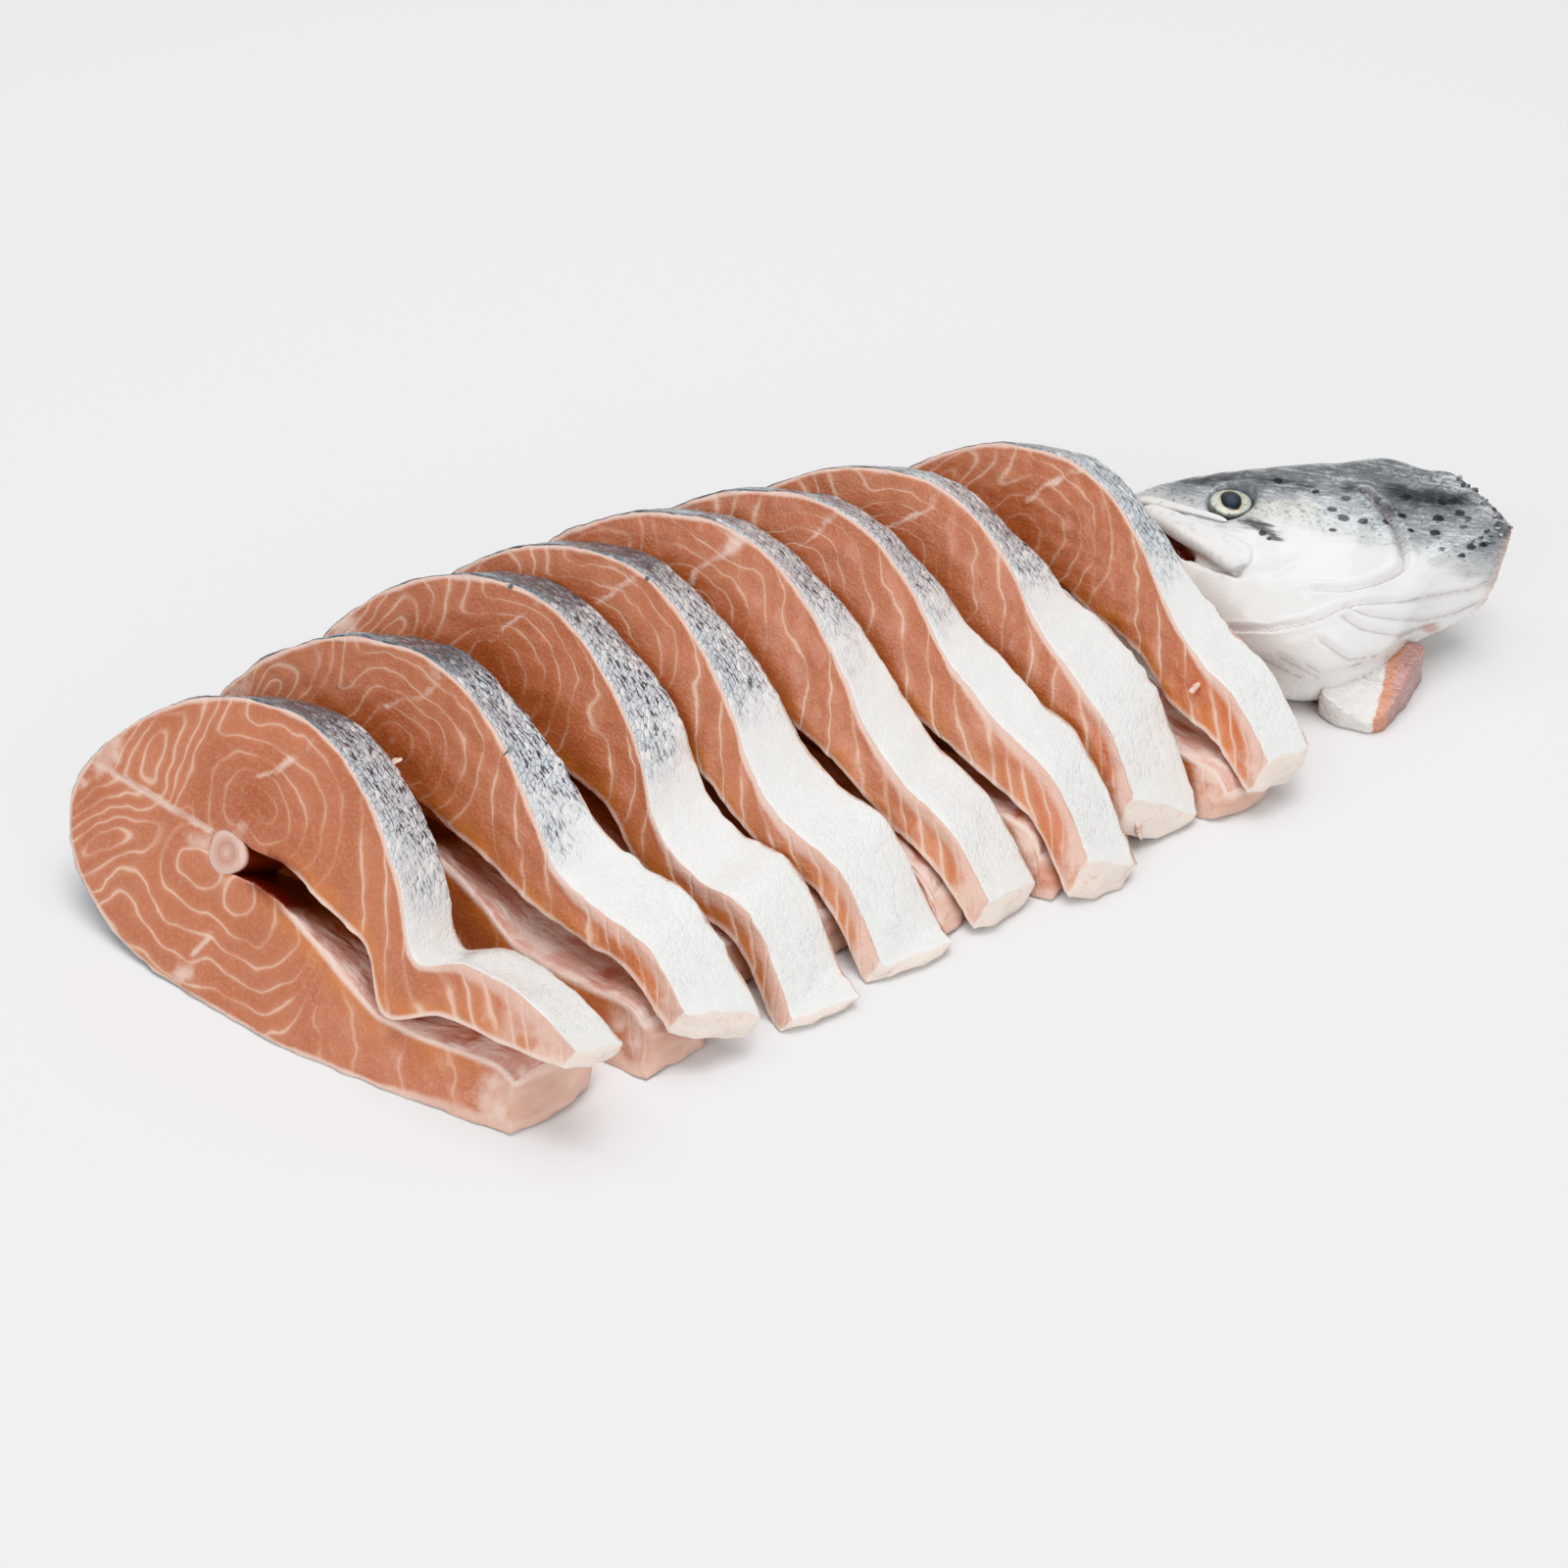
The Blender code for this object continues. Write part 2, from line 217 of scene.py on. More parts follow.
def ring_faces(rings: int, count: int) -> list[list[int]]:
    """Join neighbouring rings of points.

    Args:
        rings: How many rings there are.
        count: How many points each ring has.

    Returns:
        The faces, each as the numbers of its four points.
    """
    faces = []
    for low in range(0, (rings - 1) * count, count):
        for k in range(count):
            after = (k + 1) % count
            faces.append([low + k, low + after, low + count + after, low + count + k])
    return faces


def end_fans(rings: int, count: int) -> list[list[int]]:
    """Close the first and the last ring round two middle points, which are numbered after all the rings.

    Args:
        rings: How many rings there are.
        count: How many points each ring has.

    Returns:
        The faces, each as the numbers of its three points.
    """
    ends = ((0, rings * count), ((rings - 1) * count, rings * count + 1))
    return [[low + k, low + (k + 1) % count, middle] for low, middle in ends for k in range(count)]


def tube(rows: list[np.ndarray], place: list[np.ndarray], key: str) -> Shape:
    """Join rings of points, all with the same count, into a skin that flat ends close.

    Args:
        rows: The rings' points.
        place: The finish's values at the same points.
        key: Name of those values.

    Returns:
        The shape.
    """
    count = len(rows[0])
    faces = ring_faces(len(rows), count)
    faces += [list(range(count)), list(range((len(rows) - 1) * count, len(rows) * count))]
    return Shape(np.vstack(rows), faces, {key: np.vstack(place)})


def box_lattice(points: np.ndarray, values: dict[str, np.ndarray]) -> Shape:
    """Skin a block of lattice points with faces.

    Args:
        points: Points in rows along, from cavity to skin, and through the thickness.
        values: Values for the finishes at the same points.

    Returns:
        The closed shape, each side with its finish.
    """
    na, nd, nc = points.shape[:3]
    index = np.arange(na * nd * nc).reshape(na, nd, nc)
    quads, sides = [], []
    for block, side in (
        (index[:, :, 0], Side.CUT),
        (index[:, :, -1], Side.CUT),
        (index[:, -1, :], Side.SKIN),
        (index[:, 0, :], Side.LINING),
        (index[0], Side.CUT),
        (index[-1], Side.CUT),
    ):
        corners = (block[:-1, :-1], block[1:, :-1], block[1:, 1:], block[:-1, 1:])
        four = np.stack(corners, axis=-1).reshape(-1, 4)
        quads.append(four)
        sides += [side.value] * len(four)
    quads = np.vstack(quads)
    used, faces = np.unique(quads, return_inverse=True)
    faces = faces.reshape(-1, 4)
    flat = {key: value.reshape(-1, 3)[used] for key, value in values.items()}
    return Shape(points.reshape(-1, 3)[used], faces.tolist(), flat, sides)


def register(piece: bpy.types.Object, slot: Slot, *nodes: str) -> bpy.types.Object:
    """Say which body a piece rides on and what it stands for.

    Args:
        piece: The piece.
        slot: Its material slot; not used.
        nodes: The CAD nodes that it stands for.

    Returns:
        The same piece.
    """
    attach(piece, BODY)
    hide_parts(*nodes)
    log.info("%s: %d faces, for %s", piece.name, len(piece.data.polygons), ", ".join(nodes))
    return piece


class Graph:
    """The node tree of one finish, built by short calls."""

    def __init__(self, name: str) -> None:
        """Start an empty tree of the given name."""
        self.material = bpy.data.materials.new(name)
        self.material.use_nodes = True
        self.tree = self.material.node_tree
        self.tree.nodes.clear()

    def add(
        self, kind: str, inputs: dict[int | str, object] | None = None, **settings: object
    ) -> bpy.types.Node:
        """Add a node.

        Args:
            kind: Type name of the node, without its ShaderNode start.
            inputs: What goes into its sockets: another node's socket, or a value.
            settings: Its properties.

        Returns:
            The node.
        """
        node = self.tree.nodes.new(f"ShaderNode{kind}")
        for key, value in settings.items():
            setattr(node, key, value)
        for key, value in (inputs or {}).items():
            if isinstance(value, bpy.types.NodeSocket):
                self.tree.links.new(value, node.inputs[key])
            elif value is not None:
                node.inputs[key].default_value = value
        return node

    def place(self, name: str) -> Socket:
        """Read a vector that the mesh carries."""
        return self.add("Attribute", attribute_name=name).outputs["Vector"]

    def split(self, vector: Socket) -> tuple[Socket, Socket, Socket]:
        """Take a vector apart."""
        node = self.add("SeparateXYZ", {0: vector})
        return node.outputs[0], node.outputs[1], node.outputs[2]

    def join(self, x: Value, y: Value, z: Value = 0.0) -> Socket:
        """Put a vector together."""
        return self.add("CombineXYZ", {0: x, 1: y, 2: z}).outputs[0]

    def math(self, operation: str, a: Value, b: Value | None = None, c: Value | None = None) -> Socket:
        """Calculate with numbers."""
        return self.add("Math", {0: a, 1: b, 2: c}, operation=operation).outputs[0]

    def product(self, *values: Value) -> Socket:
        """Multiply numbers."""
        out = values[0]
        for value in values[1:]:
            out = self.math("MULTIPLY", out, value)
        return out

    def total(self, *values: Value) -> Socket:
        """Add numbers."""
        out = values[0]
        for value in values[1:]:
            out = self.math("ADD", out, value)
        return out

    def vector(self, operation: str, a: Socket, b: Socket | Point) -> Socket:
        """Calculate with vectors."""
        return self.add("VectorMath", {0: a, 1: b}, operation=operation).outputs["Vector"]

    def length(self, x: Value, y: Value) -> Socket:
        """Length of a vector in the plane."""
        return self.add("VectorMath", {0: self.join(x, y)}, operation="LENGTH").outputs["Value"]

    def smooth(self, value: Value, start: float, end: Value) -> Socket:
        """Rise smoothly from 0 at start to 1 at end."""
        inputs = {"Value": value, "From Min": start, "From Max": end}
        return self.add("MapRange", inputs, interpolation_type="SMOOTHSTEP").outputs[0]

    def noise(self, vector: Socket, size: float, detail: float) -> Socket:
        """Soft noise between 0 and 1, with features of a size in the vector's own units."""
        inputs = {"Vector": vector, "Scale": 1.0 / size, "Detail": detail}
        return self.add("TexNoise", inputs, noise_dimensions="3D").outputs[0]

    def plane_noise(self, vector: Socket, scale: float, detail: float) -> Socket:
        """Soft noise between 0 and 1 in the plane, with so many features to a millimetre."""
        inputs = {"Vector": vector, "Scale": scale, "Detail": detail}
        return self.add("TexNoise", inputs, noise_dimensions="2D").outputs[0]

    def cells(self, vector: Socket, **settings: str) -> bpy.types.Node:
        """Rows of uneven cells in the plane, about one to a unit."""
        inputs = {"Vector": vector, "Scale": 1.0, "Randomness": 0.75}
        return self.add("TexVoronoi", inputs, voronoi_dimensions="2D", **settings)

    def drift(self, vector: Socket, size: float, amount: float) -> Socket:
        """Push a vector about in the plane by soft noise.

        Args:
            vector: The vector.
            size: Size of the noise's features.
            amount: How far it pushes at most.

        Returns:
            The moved vector.
        """
        inputs = {"Vector": vector, "Scale": 1.0 / size, "Detail": 1.5}
        node = self.add("TexNoise", inputs, noise_dimensions="3D")
        push = self.vector("SUBTRACT", node.outputs["Color"], (0.5, 0.5, 0.5))
        push = self.vector("MULTIPLY", push, (2 * amount, 2 * amount, 0.0))
        return self.vector("ADD", vector, push)

    def blend(self, share: Value, low: Socket | Colour, high: Socket | Colour) -> Socket:
        """Mix two colours by a share."""
        node = self.add("Mix", {0: share}, data_type="RGBA", blend_type="MIX")
        for socket, value in ((node.inputs[6], low), (node.inputs[7], high)):
            if isinstance(value, bpy.types.NodeSocket):
                self.tree.links.new(value, socket)
            else:
                socket.default_value = (*value, 1.0)
        return node.outputs[2]

    def bump(self, height: Socket, rise: float) -> Socket:
        """Raise the surface by a height between 0 and 1 times a rise in millimetres."""
        return self.add("Bump", {"Strength": 1.0, "Distance": rise * MM, "Height": height}).outputs[0]

    def shade(
        self, colour: Socket, roughness: Value, normal: Socket | None, **uniform: float
    ) -> bpy.types.Material:
        """Close the tree with its surface shader.

        Args:
            colour: The base colour.
            roughness: The roughness.
            normal: The surface normal, or none.
            uniform: Values that are the same all over, by socket name with _ for a space.

        Returns:
            The finished material.
        """
        shader = self.add("BsdfPrincipled", {"Base Color": colour, "Roughness": roughness})
        if normal is not None:
            self.tree.links.new(normal, shader.inputs["Normal"])
        for key, value in uniform.items():
            shader.inputs[key.replace("_", " ")].default_value = value
        self.add("OutputMaterial", {0: shader.outputs[0]})
        return self.material

    @staticmethod
    def wet(reach: float, weight: float) -> dict[str, float]:
        """Surface values of something wet.

        Args:
            reach: How deep light goes into it, in millimetres.
            weight: The share of the light that does.

        Returns:
            The shader's values by socket name.
        """
        return {
            "Subsurface_Weight": weight,
            "Subsurface_Scale": reach * MM,
            "Coat_Weight": 0.3,
            "Coat_Roughness": 0.12,
            "IOR": 1.42,
        }


@dataclass(frozen=True)
class FleshFinish:
    """Wet cut salmon: nested muscle blocks between pale lines, fat under the skin and a pale flap end."""

    orange: Colour = (0.52, 0.199, 0.114)
    deep: Colour = (0.39, 0.119, 0.061)
    light: Colour = (0.62, 0.325, 0.21)
    line: Colour = (0.80, 0.56, 0.44)
    fat: Colour = (0.77, 0.59, 0.51)
    pink: Colour = (0.66, 0.42, 0.34)
    blood: Colour = (0.16, 0.02, 0.012)
    amber: Colour = (0.66, 0.25, 0.06)
    tip: Colour = (0.60, 0.150, 0.050)
    cream: Colour = (0.82, 0.755, 0.69)
    white: Colour = (0.85, 0.69, 0.61)
    dark_edge: Colour = (0.09, 0.10, 0.115)

    @staticmethod
    def lines(g: Graph, count: Socket, width: Value) -> Socket:
        """Draw a soft line wherever a count passes a whole number.

        Args:
            g: The tree.
            count: How many blocks out a place is.
            width: Half the line's width, as a share of a block.

        Returns:
            The line's strength.
        """
        part = g.math("SUBTRACT", g.math("FRACT", count), 0.5)
        off = g.math("SUBTRACT", 0.5, g.math("ABSOLUTE", part))
        return g.math("SUBTRACT", 1.0, g.smooth(off, 0.0, width))

    def make(self) -> bpy.types.Material:
        """Build the material."""
        g = Graph("wet salmon flesh")
        along, up, seed = g.split(g.place("section"))
        rim, inner, off_spine = g.split(g.place("margins"))
        count, width, strength = g.split(g.place("muscle"))
        pale, bloody, depth = g.split(g.place("marks"))
        to_tip, redness, on_top = g.split(g.place("ends"))
        flat = g.join(along, up, seed)
        uneven = g.noise(flat, 8.0, 2.0)
        grain = g.noise(flat, 1.0, 3.0)
        patches = g.noise(g.vector("ADD", flat, (40.0, 9.0, 3.0)), 15.0, 1.0)

        # The pale lines, the soft glow beside them and each block's own tint.
        wavy = g.math("MULTIPLY_ADD", uneven, 0.3, count)
        blocks = g.math("FLOOR", wavy)
        lines = self.lines(g, wavy, g.product(width, g.math("MULTIPLY_ADD", uneven, 1.2, 0.35)))
        broken = g.math("MULTIPLY_ADD", g.smooth(patches, 0.36, 0.58), 0.75, 0.25)
        lines = g.product(lines, strength, broken)
        halo = g.product(self.lines(g, wavy, g.product(width, 3.0)), strength, broken)
        tint = g.add("TexWhiteNoise", {"W": g.total(blocks, seed)}, noise_dimensions="1D")

        shade = g.total(g.product(tint.outputs["Value"], 0.30), g.product(patches, 0.55), 0.35)
        shade = g.math("SUBTRACT", shade, g.product(depth, 0.55))
        colour = g.blend(shade, self.deep, self.orange)
        colour = g.blend(g.product(g.smooth(to_tip, 60.0, 14.0), redness), colour, self.tip)
        colour = g.blend(g.product(g.smooth(grain, 0.42, 0.72), 0.32), colour, self.light)
        near_cavity = g.product(g.smooth(inner, 10.0, 1.0), g.smooth(along, 12.0, 26.0))
        near_cavity = g.product(near_cavity, g.smooth(uneven, 0.3, 0.6), 0.45)
        colour = g.blend(near_cavity, colour, self.amber)
        colour = g.blend(g.product(halo, 0.5), colour, self.light)
        colour = g.blend(g.product(lines, 0.8), colour, self.line)

        # Fat inside the flesh, the sheet behind the backbone and the blood in front of it.
        fatty = g.smooth(g.total(pale, g.product(uneven, 0.9), g.product(grain, 0.25)), 0.72, 1.35)
        fat = g.blend(g.smooth(uneven, 0.35, 0.65), self.pink, self.fat)
        colour = g.blend(g.product(fatty, 0.82), colour, fat)
        spine = g.product(g.smooth(off_spine, 1.9, 0.3), g.smooth(patches, 0.2, 0.5))
        colour = g.blend(g.product(spine, 0.75), colour, self.fat)
        colour = g.blend(g.product(bloody, g.smooth(uneven, 0.35, 0.6), 0.8), colour, self.blood)

        # The edges: fat under the skin, the lining's rim, the flap's trimmed end and the dark back.
        on_flap = g.smooth(along, 66.0, 98.0)
        fat_depth = g.total(0.9, g.product(uneven, 2.0), g.product(on_flap, 2.3))
        under_skin = g.math("SUBTRACT", 1.0, g.smooth(g.math("DIVIDE", rim, fat_depth), 0.55, 1.25))
        fat = g.blend(g.product(on_flap, 0.7), self.fat, self.pink)
        colour = g.blend(g.product(under_skin, 0.85), colour, fat)
        lining_edge = g.product(g.smooth(inner, 2.6, 0.7), g.smooth(along, 20.0, 32.0))
        colour = g.blend(g.product(lining_edge, 0.85), colour, self.white)
        trimmed = g.product(g.smooth(to_tip, 1.5, 0.1), on_top, g.smooth(grain, 0.1, 0.5))
        colour = g.blend(g.product(trimmed, 0.85), colour, self.cream)
        dark_back = g.product(g.smooth(rim, 0.5, 0.2), g.smooth(along, 52.0, 30.0))
        colour = g.blend(g.product(dark_back, 0.7), colour, self.dark_edge)

        height = g.total(g.product(grain, 0.4), g.product(lines, -0.3), g.product(uneven, 0.7))
        roughness = g.math("MULTIPLY_ADD", patches, 0.34, 0.13)
        return g.shade(colour, roughness, g.bump(height, 0.65), **g.wet(1.6, 0.12))


@dataclass(frozen=True)
class MusclePattern:
    """Where the pale lines between the muscle blocks run in one steak's section."""

    number: int
    shift: float = 2.2
    flap_from: float = 36.0
    flap_to: float = 47.0
    flap_start: float = 42.0
    wide_rungs: float = 12.0
    narrow_rungs: float = 7.5
    narrow_from: float = 80.0
    low_rungs: float = 15.0
    septa: tuple[Line, ...] = (((17, 46), (13, 38), (6, 29), (2, 25)), ((-2, -40), (0, -34), (3, -27)))

    def warped(self, x: np.ndarray, y: np.ndarray) -> tuple[np.ndarray, np.ndarray]:
        """Move places a little, so that no line is a clean curve and no two steaks are alike."""
        probe = np.stack([x, y, 0 * x], axis=-1)
        moved = []
        for k, value in enumerate((x, y)):
            seed = 500 + 10 * self.number + k
            moved.append(value + 1.9 * Ruffle(seed, 34.0).at(probe) + 0.45 * Ruffle(seed + 5, 9.0).at(probe))
        return moved[0], moved[1]

    @staticmethod
    def rings(
        x: np.ndarray, y: np.ndarray, centre: Pair, turn: float, long: float, wide: float
    ) -> np.ndarray:
        """Count ellipses outwards from a centre.

        Args:
            x: Distance towards the belly.
            y: Distance towards the upper flank.
            centre: Middle of the innermost block.
            turn: Direction of the blocks' long axis in degrees.
            long: Spacing along that axis.
            wide: Spacing across it.

        Returns:
            How many ellipses out each place is.
        """
        angle = math.radians(turn)
        dx, dy = x - centre[0], y - centre[1]
        ahead = dx * math.cos(angle) + dy * math.sin(angle)
        aside = dy * math.cos(angle) - dx * math.sin(angle)
        return np.hypot(ahead / long, aside / wide)

    def blocks(self, x: np.ndarray, y: np.ndarray, rim: np.ndarray, upper: np.ndarray) -> np.ndarray:
        """Count the blocks and say how wide and how strong the lines between them are.

        Args:
            x: Distance towards the belly.
            y: Distance towards the upper flank.
            rim: Distance from the skin.
            upper: Whether a place is in the upper half.

        Returns:
            The count, the half width of a line as a share of a block, and its strength, for each place.
        """
        draw = np.random.default_rng(700 + self.number)
        mx, my = draw.normal(size=2) * (self.shift if self.number > 1 else 0.0)
        turn = draw.normal() * 6.0
        wx, wy = self.warped(x, y)
        back_up = self.rings(wx, wy, (-34 + mx, 15 + my), 68 + turn, 8.8, 3.2)
        flank_up = 0.7 + self.rings(wx, wy, (6 - mx, 16), 0, 5.9, 5.1)
        back_low = self.rings(wx, wy, (-40 + mx, -15 - my), 40 + turn, 8.6, 3.5)
        loops = soft_lowest(
            self.rings(wx, wy, (-9, -8.5 + my), 30, 7.0, 5.6),
            self.rings(wx, wy, (10 + mx, -10), -15, 8.0, 5.2),
            0.7,
        )
        arcs = 2 + (self.rings(wx, wy, (1, -5), 0, 1.12, 1.0) - 15.5) / 6.8
        flank_low = soft_lowest(loops, np.maximum(arcs, 1.3), 1.3)

        back = np.where(upper, back_up, back_low)
        flank = np.where(upper, flank_up, flank_low)
        on_back = ramp(flank - back, -0.25, 0.25)
        body = soft_lowest(back, flank, 1.8)
        width = on_back * 0.19 + (1 - on_back) * np.where(upper, 0.11, 0.105)
        strength = on_back * np.where(upper, 0.8, 0.95) + (1 - on_back) * np.where(upper, 0.28, 0.85)
        strength = strength + (1 - on_back) * np.where(upper, 0.35 * ramp(flank, 1.8, 4.2), 0.0)

        slant = np.where(upper, 0.45 + 0.4 * ramp(x, 45, 80), -0.5)
        run = wx - slant * rim
        near_body = np.minimum(run, self.narrow_from) - self.flap_start
        near_tip = np.maximum(run - self.narrow_from, 0.0)
        upper_ladder = 6.9 + near_body / self.wide_rungs + near_tip / self.narrow_rungs
        ladder = np.where(upper, upper_ladder, 6.2 + (run - self.flap_start) / self.low_rungs)
        flap = ramp(x, self.flap_from, self.flap_to)
        flap = flap * flap * (3 - 2 * flap)
        count = body + (ladder - body) * flap
        width = width + (np.where(upper, 0.095 + 0.12 * ramp(x, 65, 95), 0.07) - width) * flap
        strength = strength + (np.where(upper, 0.95, 0.45) - strength) * flap
        return np.stack([count, width, strength], axis=-1)

    def marks(
        self, x: np.ndarray, y: np.ndarray, inner: np.ndarray, upper: np.ndarray, to_tip: np.ndarray
    ) -> np.ndarray:
        """Say where fat shows, where blood has stained the flesh and where it is see-through and dark.

        Args:
            x: Distance towards the belly.
            y: Distance towards the upper flank.
            inner: Distance from the cavity.
            upper: Whether a place is in the upper half.
            to_tip: Distance from the flap's end.

        Returns:
            The three values for each place.
        """
        wx, wy = self.warped(x, y)
        end = np.where(upper, 28.0, 14.0) if self.number == 1 else np.where(upper, 15.0, 18.0)
        flat = np.stack([wx.ravel(), wy.ravel()], axis=-1)
        septa = [line_distance(flat, septum).reshape(x.shape) for septum in self.septa]
        patches = (
            (1.0, self.rings(wx, wy, (-50, 9), 62, 9.5, 4.6)),
            (0.4, self.rings(wx, wy, (15, 44), 75, 5.0, 3.4)),
            (0.62, self.rings(wx, wy, (-1.5, -39), 80, 6.0, 4.2)),
            (0.65, self.rings(wx, wy, (-5, 1.5), 10, 11.0, 6.0)),
            (1.0, to_tip / end),
            (0.62, septa[0] / 1.1),
            (0.68, septa[1] / 1.2),
        )
        pale = np.max([weight * ramp(patch, 1.3, 0.35) for weight, patch in patches], axis=0)
        uneven = Ruffle(560 + self.number, 13.0).at(np.stack([x, y, 0 * x], axis=-1))
        pale = pale * (1 - 0.5 * ramp(uneven, 0.3, 1.0))
        bloody = ramp(inner, 4.5, 0.5) * ramp(x, 34, 22) * ramp(x, 6, 12)
        dark = ramp(self.rings(wx, wy, (4, 15), 0, 26, 22), 1.0, 0.1) * upper
        return np.stack([pale, bloody, dark], axis=-1)


@dataclass(frozen=True)
class SkinFinish:
    """Wet scaled skin: blue-black at the back, silver with black dashes on the flank, white at the belly."""

    back: Colour = (0.045, 0.052, 0.065)
    slate: Colour = (0.20, 0.24, 0.285)
    brown: Colour = (0.15, 0.135, 0.12)
    silver: Colour = (0.62, 0.66, 0.70)
    belly: Colour = (0.84, 0.84, 0.82)
    glint: Colour = (0.92, 0.92, 0.90)
    # Grey of the painted reflection in the belly flap's crumpled facets.
    facet_reflection_grey: Colour = (0.60, 0.615, 0.61)
    scale_length: float = 2.5
    scale_width: float = 1.9
    facets_from: float = 62.0
    facets_to: float = 22.0

    def make(self) -> bpy.types.Material:
        """Build the material."""
        g = Graph("wet scaled skin")
        around, across, seed = g.split(g.place("skin_place"))
        dark, white, dashed = g.split(g.place("skin_tone"))
        to_tip, _, _ = g.split(g.place("ends"))
        along = g.total(around, g.product(seed, 11.0))
        scales = g.join(
            g.product(g.total(along, g.product(across, 0.5)), 1.0 / self.scale_length),
            g.product(across, 1.0 / self.scale_width),
        )
        edge = g.cells(scales, feature="DISTANCE_TO_EDGE").outputs["Distance"]
        one, two, three = g.split(g.cells(scales).outputs["Color"])
        flat = g.join(along, across)
        uneven = g.plane_noise(flat, 0.12, 3.0)
        fine = g.plane_noise(flat, 0.9, 3.0)

        brownish = g.product(g.smooth(uneven, 0.52, 0.68), 0.5)
        colour = g.blend(brownish, self.slate, self.brown)
        colour = g.blend(g.smooth(g.math("MULTIPLY_ADD", fine, 0.5, dark), 0.55, 0.95), self.silver, colour)
        black_scales = g.product(g.smooth(dark, 0.55, 1.0), g.smooth(one, 0.9, 0.2), 0.7)
        colour = g.blend(black_scales, colour, self.back)
        colour = g.blend(white, colour, self.belly)
        shining = g.product(g.smooth(one, 0.55, 1.0), g.math("SUBTRACT", 1.0, white))
        shining = g.product(shining, g.math("MULTIPLY_ADD", dark, -0.42, 0.6))
        colour = g.blend(shining, colour, self.silver)
        outline = g.product(g.smooth(edge, 0.14, 0.02), g.smooth(white, 0.7, 0.1), 0.38)
        colour = g.blend(outline, colour, self.back)

        # Black dashes that run slanted round the body, and single scales that sparkle.
        lengthwise = g.product(g.total(along, g.product(across, 0.6)), 0.24)
        slanted = g.join(lengthwise, g.math("SUBTRACT", across, g.product(along, 0.15)))
        dash = g.plane_noise(slanted, 1.05, 2.0)
        dash = g.smooth(g.math("MULTIPLY_ADD", dark, 0.06, dash), 0.55, 0.62)
        colour = g.blend(g.product(dash, dashed, 0.92), colour, self.back)
        sparkle = g.product(g.smooth(two, 0.80, 0.96), g.smooth(dark, 0.9, 0.3))
        colour = g.blend(g.product(sparkle, 0.7), colour, self.glint)

        # The crumpled white skin of the belly flap, with soft grey facets painted in as reflections of its
        # crumpled scales.
        scaly = g.total(g.product(three, 0.6), g.product(g.smooth(edge, 0.0, 0.2), 0.5))
        crumpled = g.smooth(to_tip, self.facets_from, self.facets_to)
        crumpled = g.product(crumpled, g.smooth(to_tip, 3.0, 9.0), white)
        # Painted reflection: a mosaic of grey facets on the crumpled white skin.
        facet_reflections = g.product(crumpled, g.smooth(one, 0.75, 0.25), g.smooth(fine, 0.40, 0.60))
        colour = g.blend(g.product(facet_reflections, 0.42), colour, self.facet_reflection_grey)
        scaly = g.product(scaly, g.total(g.product(white, -0.8), 1.0, g.product(crumpled, 0.35)))
        tilt = g.total(scaly, g.product(uneven, 1.2), g.product(fine, 0.6))
        roughness = g.math("MULTIPLY_ADD", two, 0.22, 0.16)
        return g.shade(colour, roughness, g.bump(tilt, 0.35), Metallic=0.10, **g.wet(1.0, 0.0))


@dataclass(frozen=True)
class LiningFinish:
    """The glossy pink lining of the belly cavity, dark red close to the backbone."""

    pink: Colour = (0.68, 0.41, 0.345)
    white: Colour = (0.84, 0.68, 0.62)
    red: Colour = (0.50, 0.20, 0.14)
    blood: Colour = (0.10, 0.010, 0.006)

    def make(self) -> bpy.types.Material:
        """Build the material."""
        g = Graph("wet belly lining")
        around, across, seed = g.split(g.place("skin_place"))
        along, _, _ = g.split(g.place("section"))
        flat = g.join(around, across, seed)
        patches = g.noise(flat, 14.0, 3.0)
        folds = g.noise(g.join(g.product(around, 0.4), across, seed), 4.0, 3.0)
        colour = g.blend(g.smooth(patches, 0.30, 0.50), self.red, self.pink)
        colour = g.blend(g.product(g.smooth(folds, 0.42, 0.62), 0.8), colour, self.white)
        deep = g.smooth(g.math("MULTIPLY_ADD", patches, 12.0, along), 42.0, 30.0)
        colour = g.blend(deep, colour, self.blood)
        height = g.math("MULTIPLY_ADD", g.noise(flat, 1.6, 2.0), 0.2, folds)
        roughness = g.math("MULTIPLY_ADD", folds, 0.2, 0.1)
        return g.shade(colour, roughness, g.bump(height, 1.4), **g.wet(2.0, 0.0))


@dataclass(frozen=True)
class BoneFinish:
    """The translucent disc of a backbone: a pale rim round a pinkish middle with a small soft core."""

    rim: Colour = (0.68, 0.48, 0.42)
    middle: Colour = (0.56, 0.32, 0.26)
    core: Colour = (0.66, 0.46, 0.39)
    side: Colour = (0.22, 0.05, 0.035)
    core_from: float = 1.7
    core_to: float = 0.6
    rim_from: float = 3.4
    rim_to: float = 5.4
    side_from: float = 0.8
    side_to: float = 2.5

    def make(self) -> bpy.types.Material:
        """Build the material."""
        g = Graph("backbone")
        along, up, seed = g.split(g.place("section"))
        _, depth, _ = g.split(g.place("margins"))
        place = g.drift(g.join(along, up, seed), 3.0, 0.6)
        x, y, _ = g.split(place)
        out = g.length(x, y)
        rings = g.noise(g.join(out, seed), 0.9, 1.0)
        colour = g.blend(g.smooth(out, self.rim_from, self.rim_to), self.middle, self.rim)
        colour = g.blend(g.smooth(out, self.core_from, self.core_to), colour, self.core)
        colour = g.blend(g.product(g.smooth(rings, 0.45, 0.65), 0.35), colour, self.core)
        colour = g.blend(g.smooth(depth, self.side_from, self.side_to), colour, self.side)
        return g.shade(colour, 0.22, g.bump(rings, 0.3), **g.wet(2.5, 0.35))


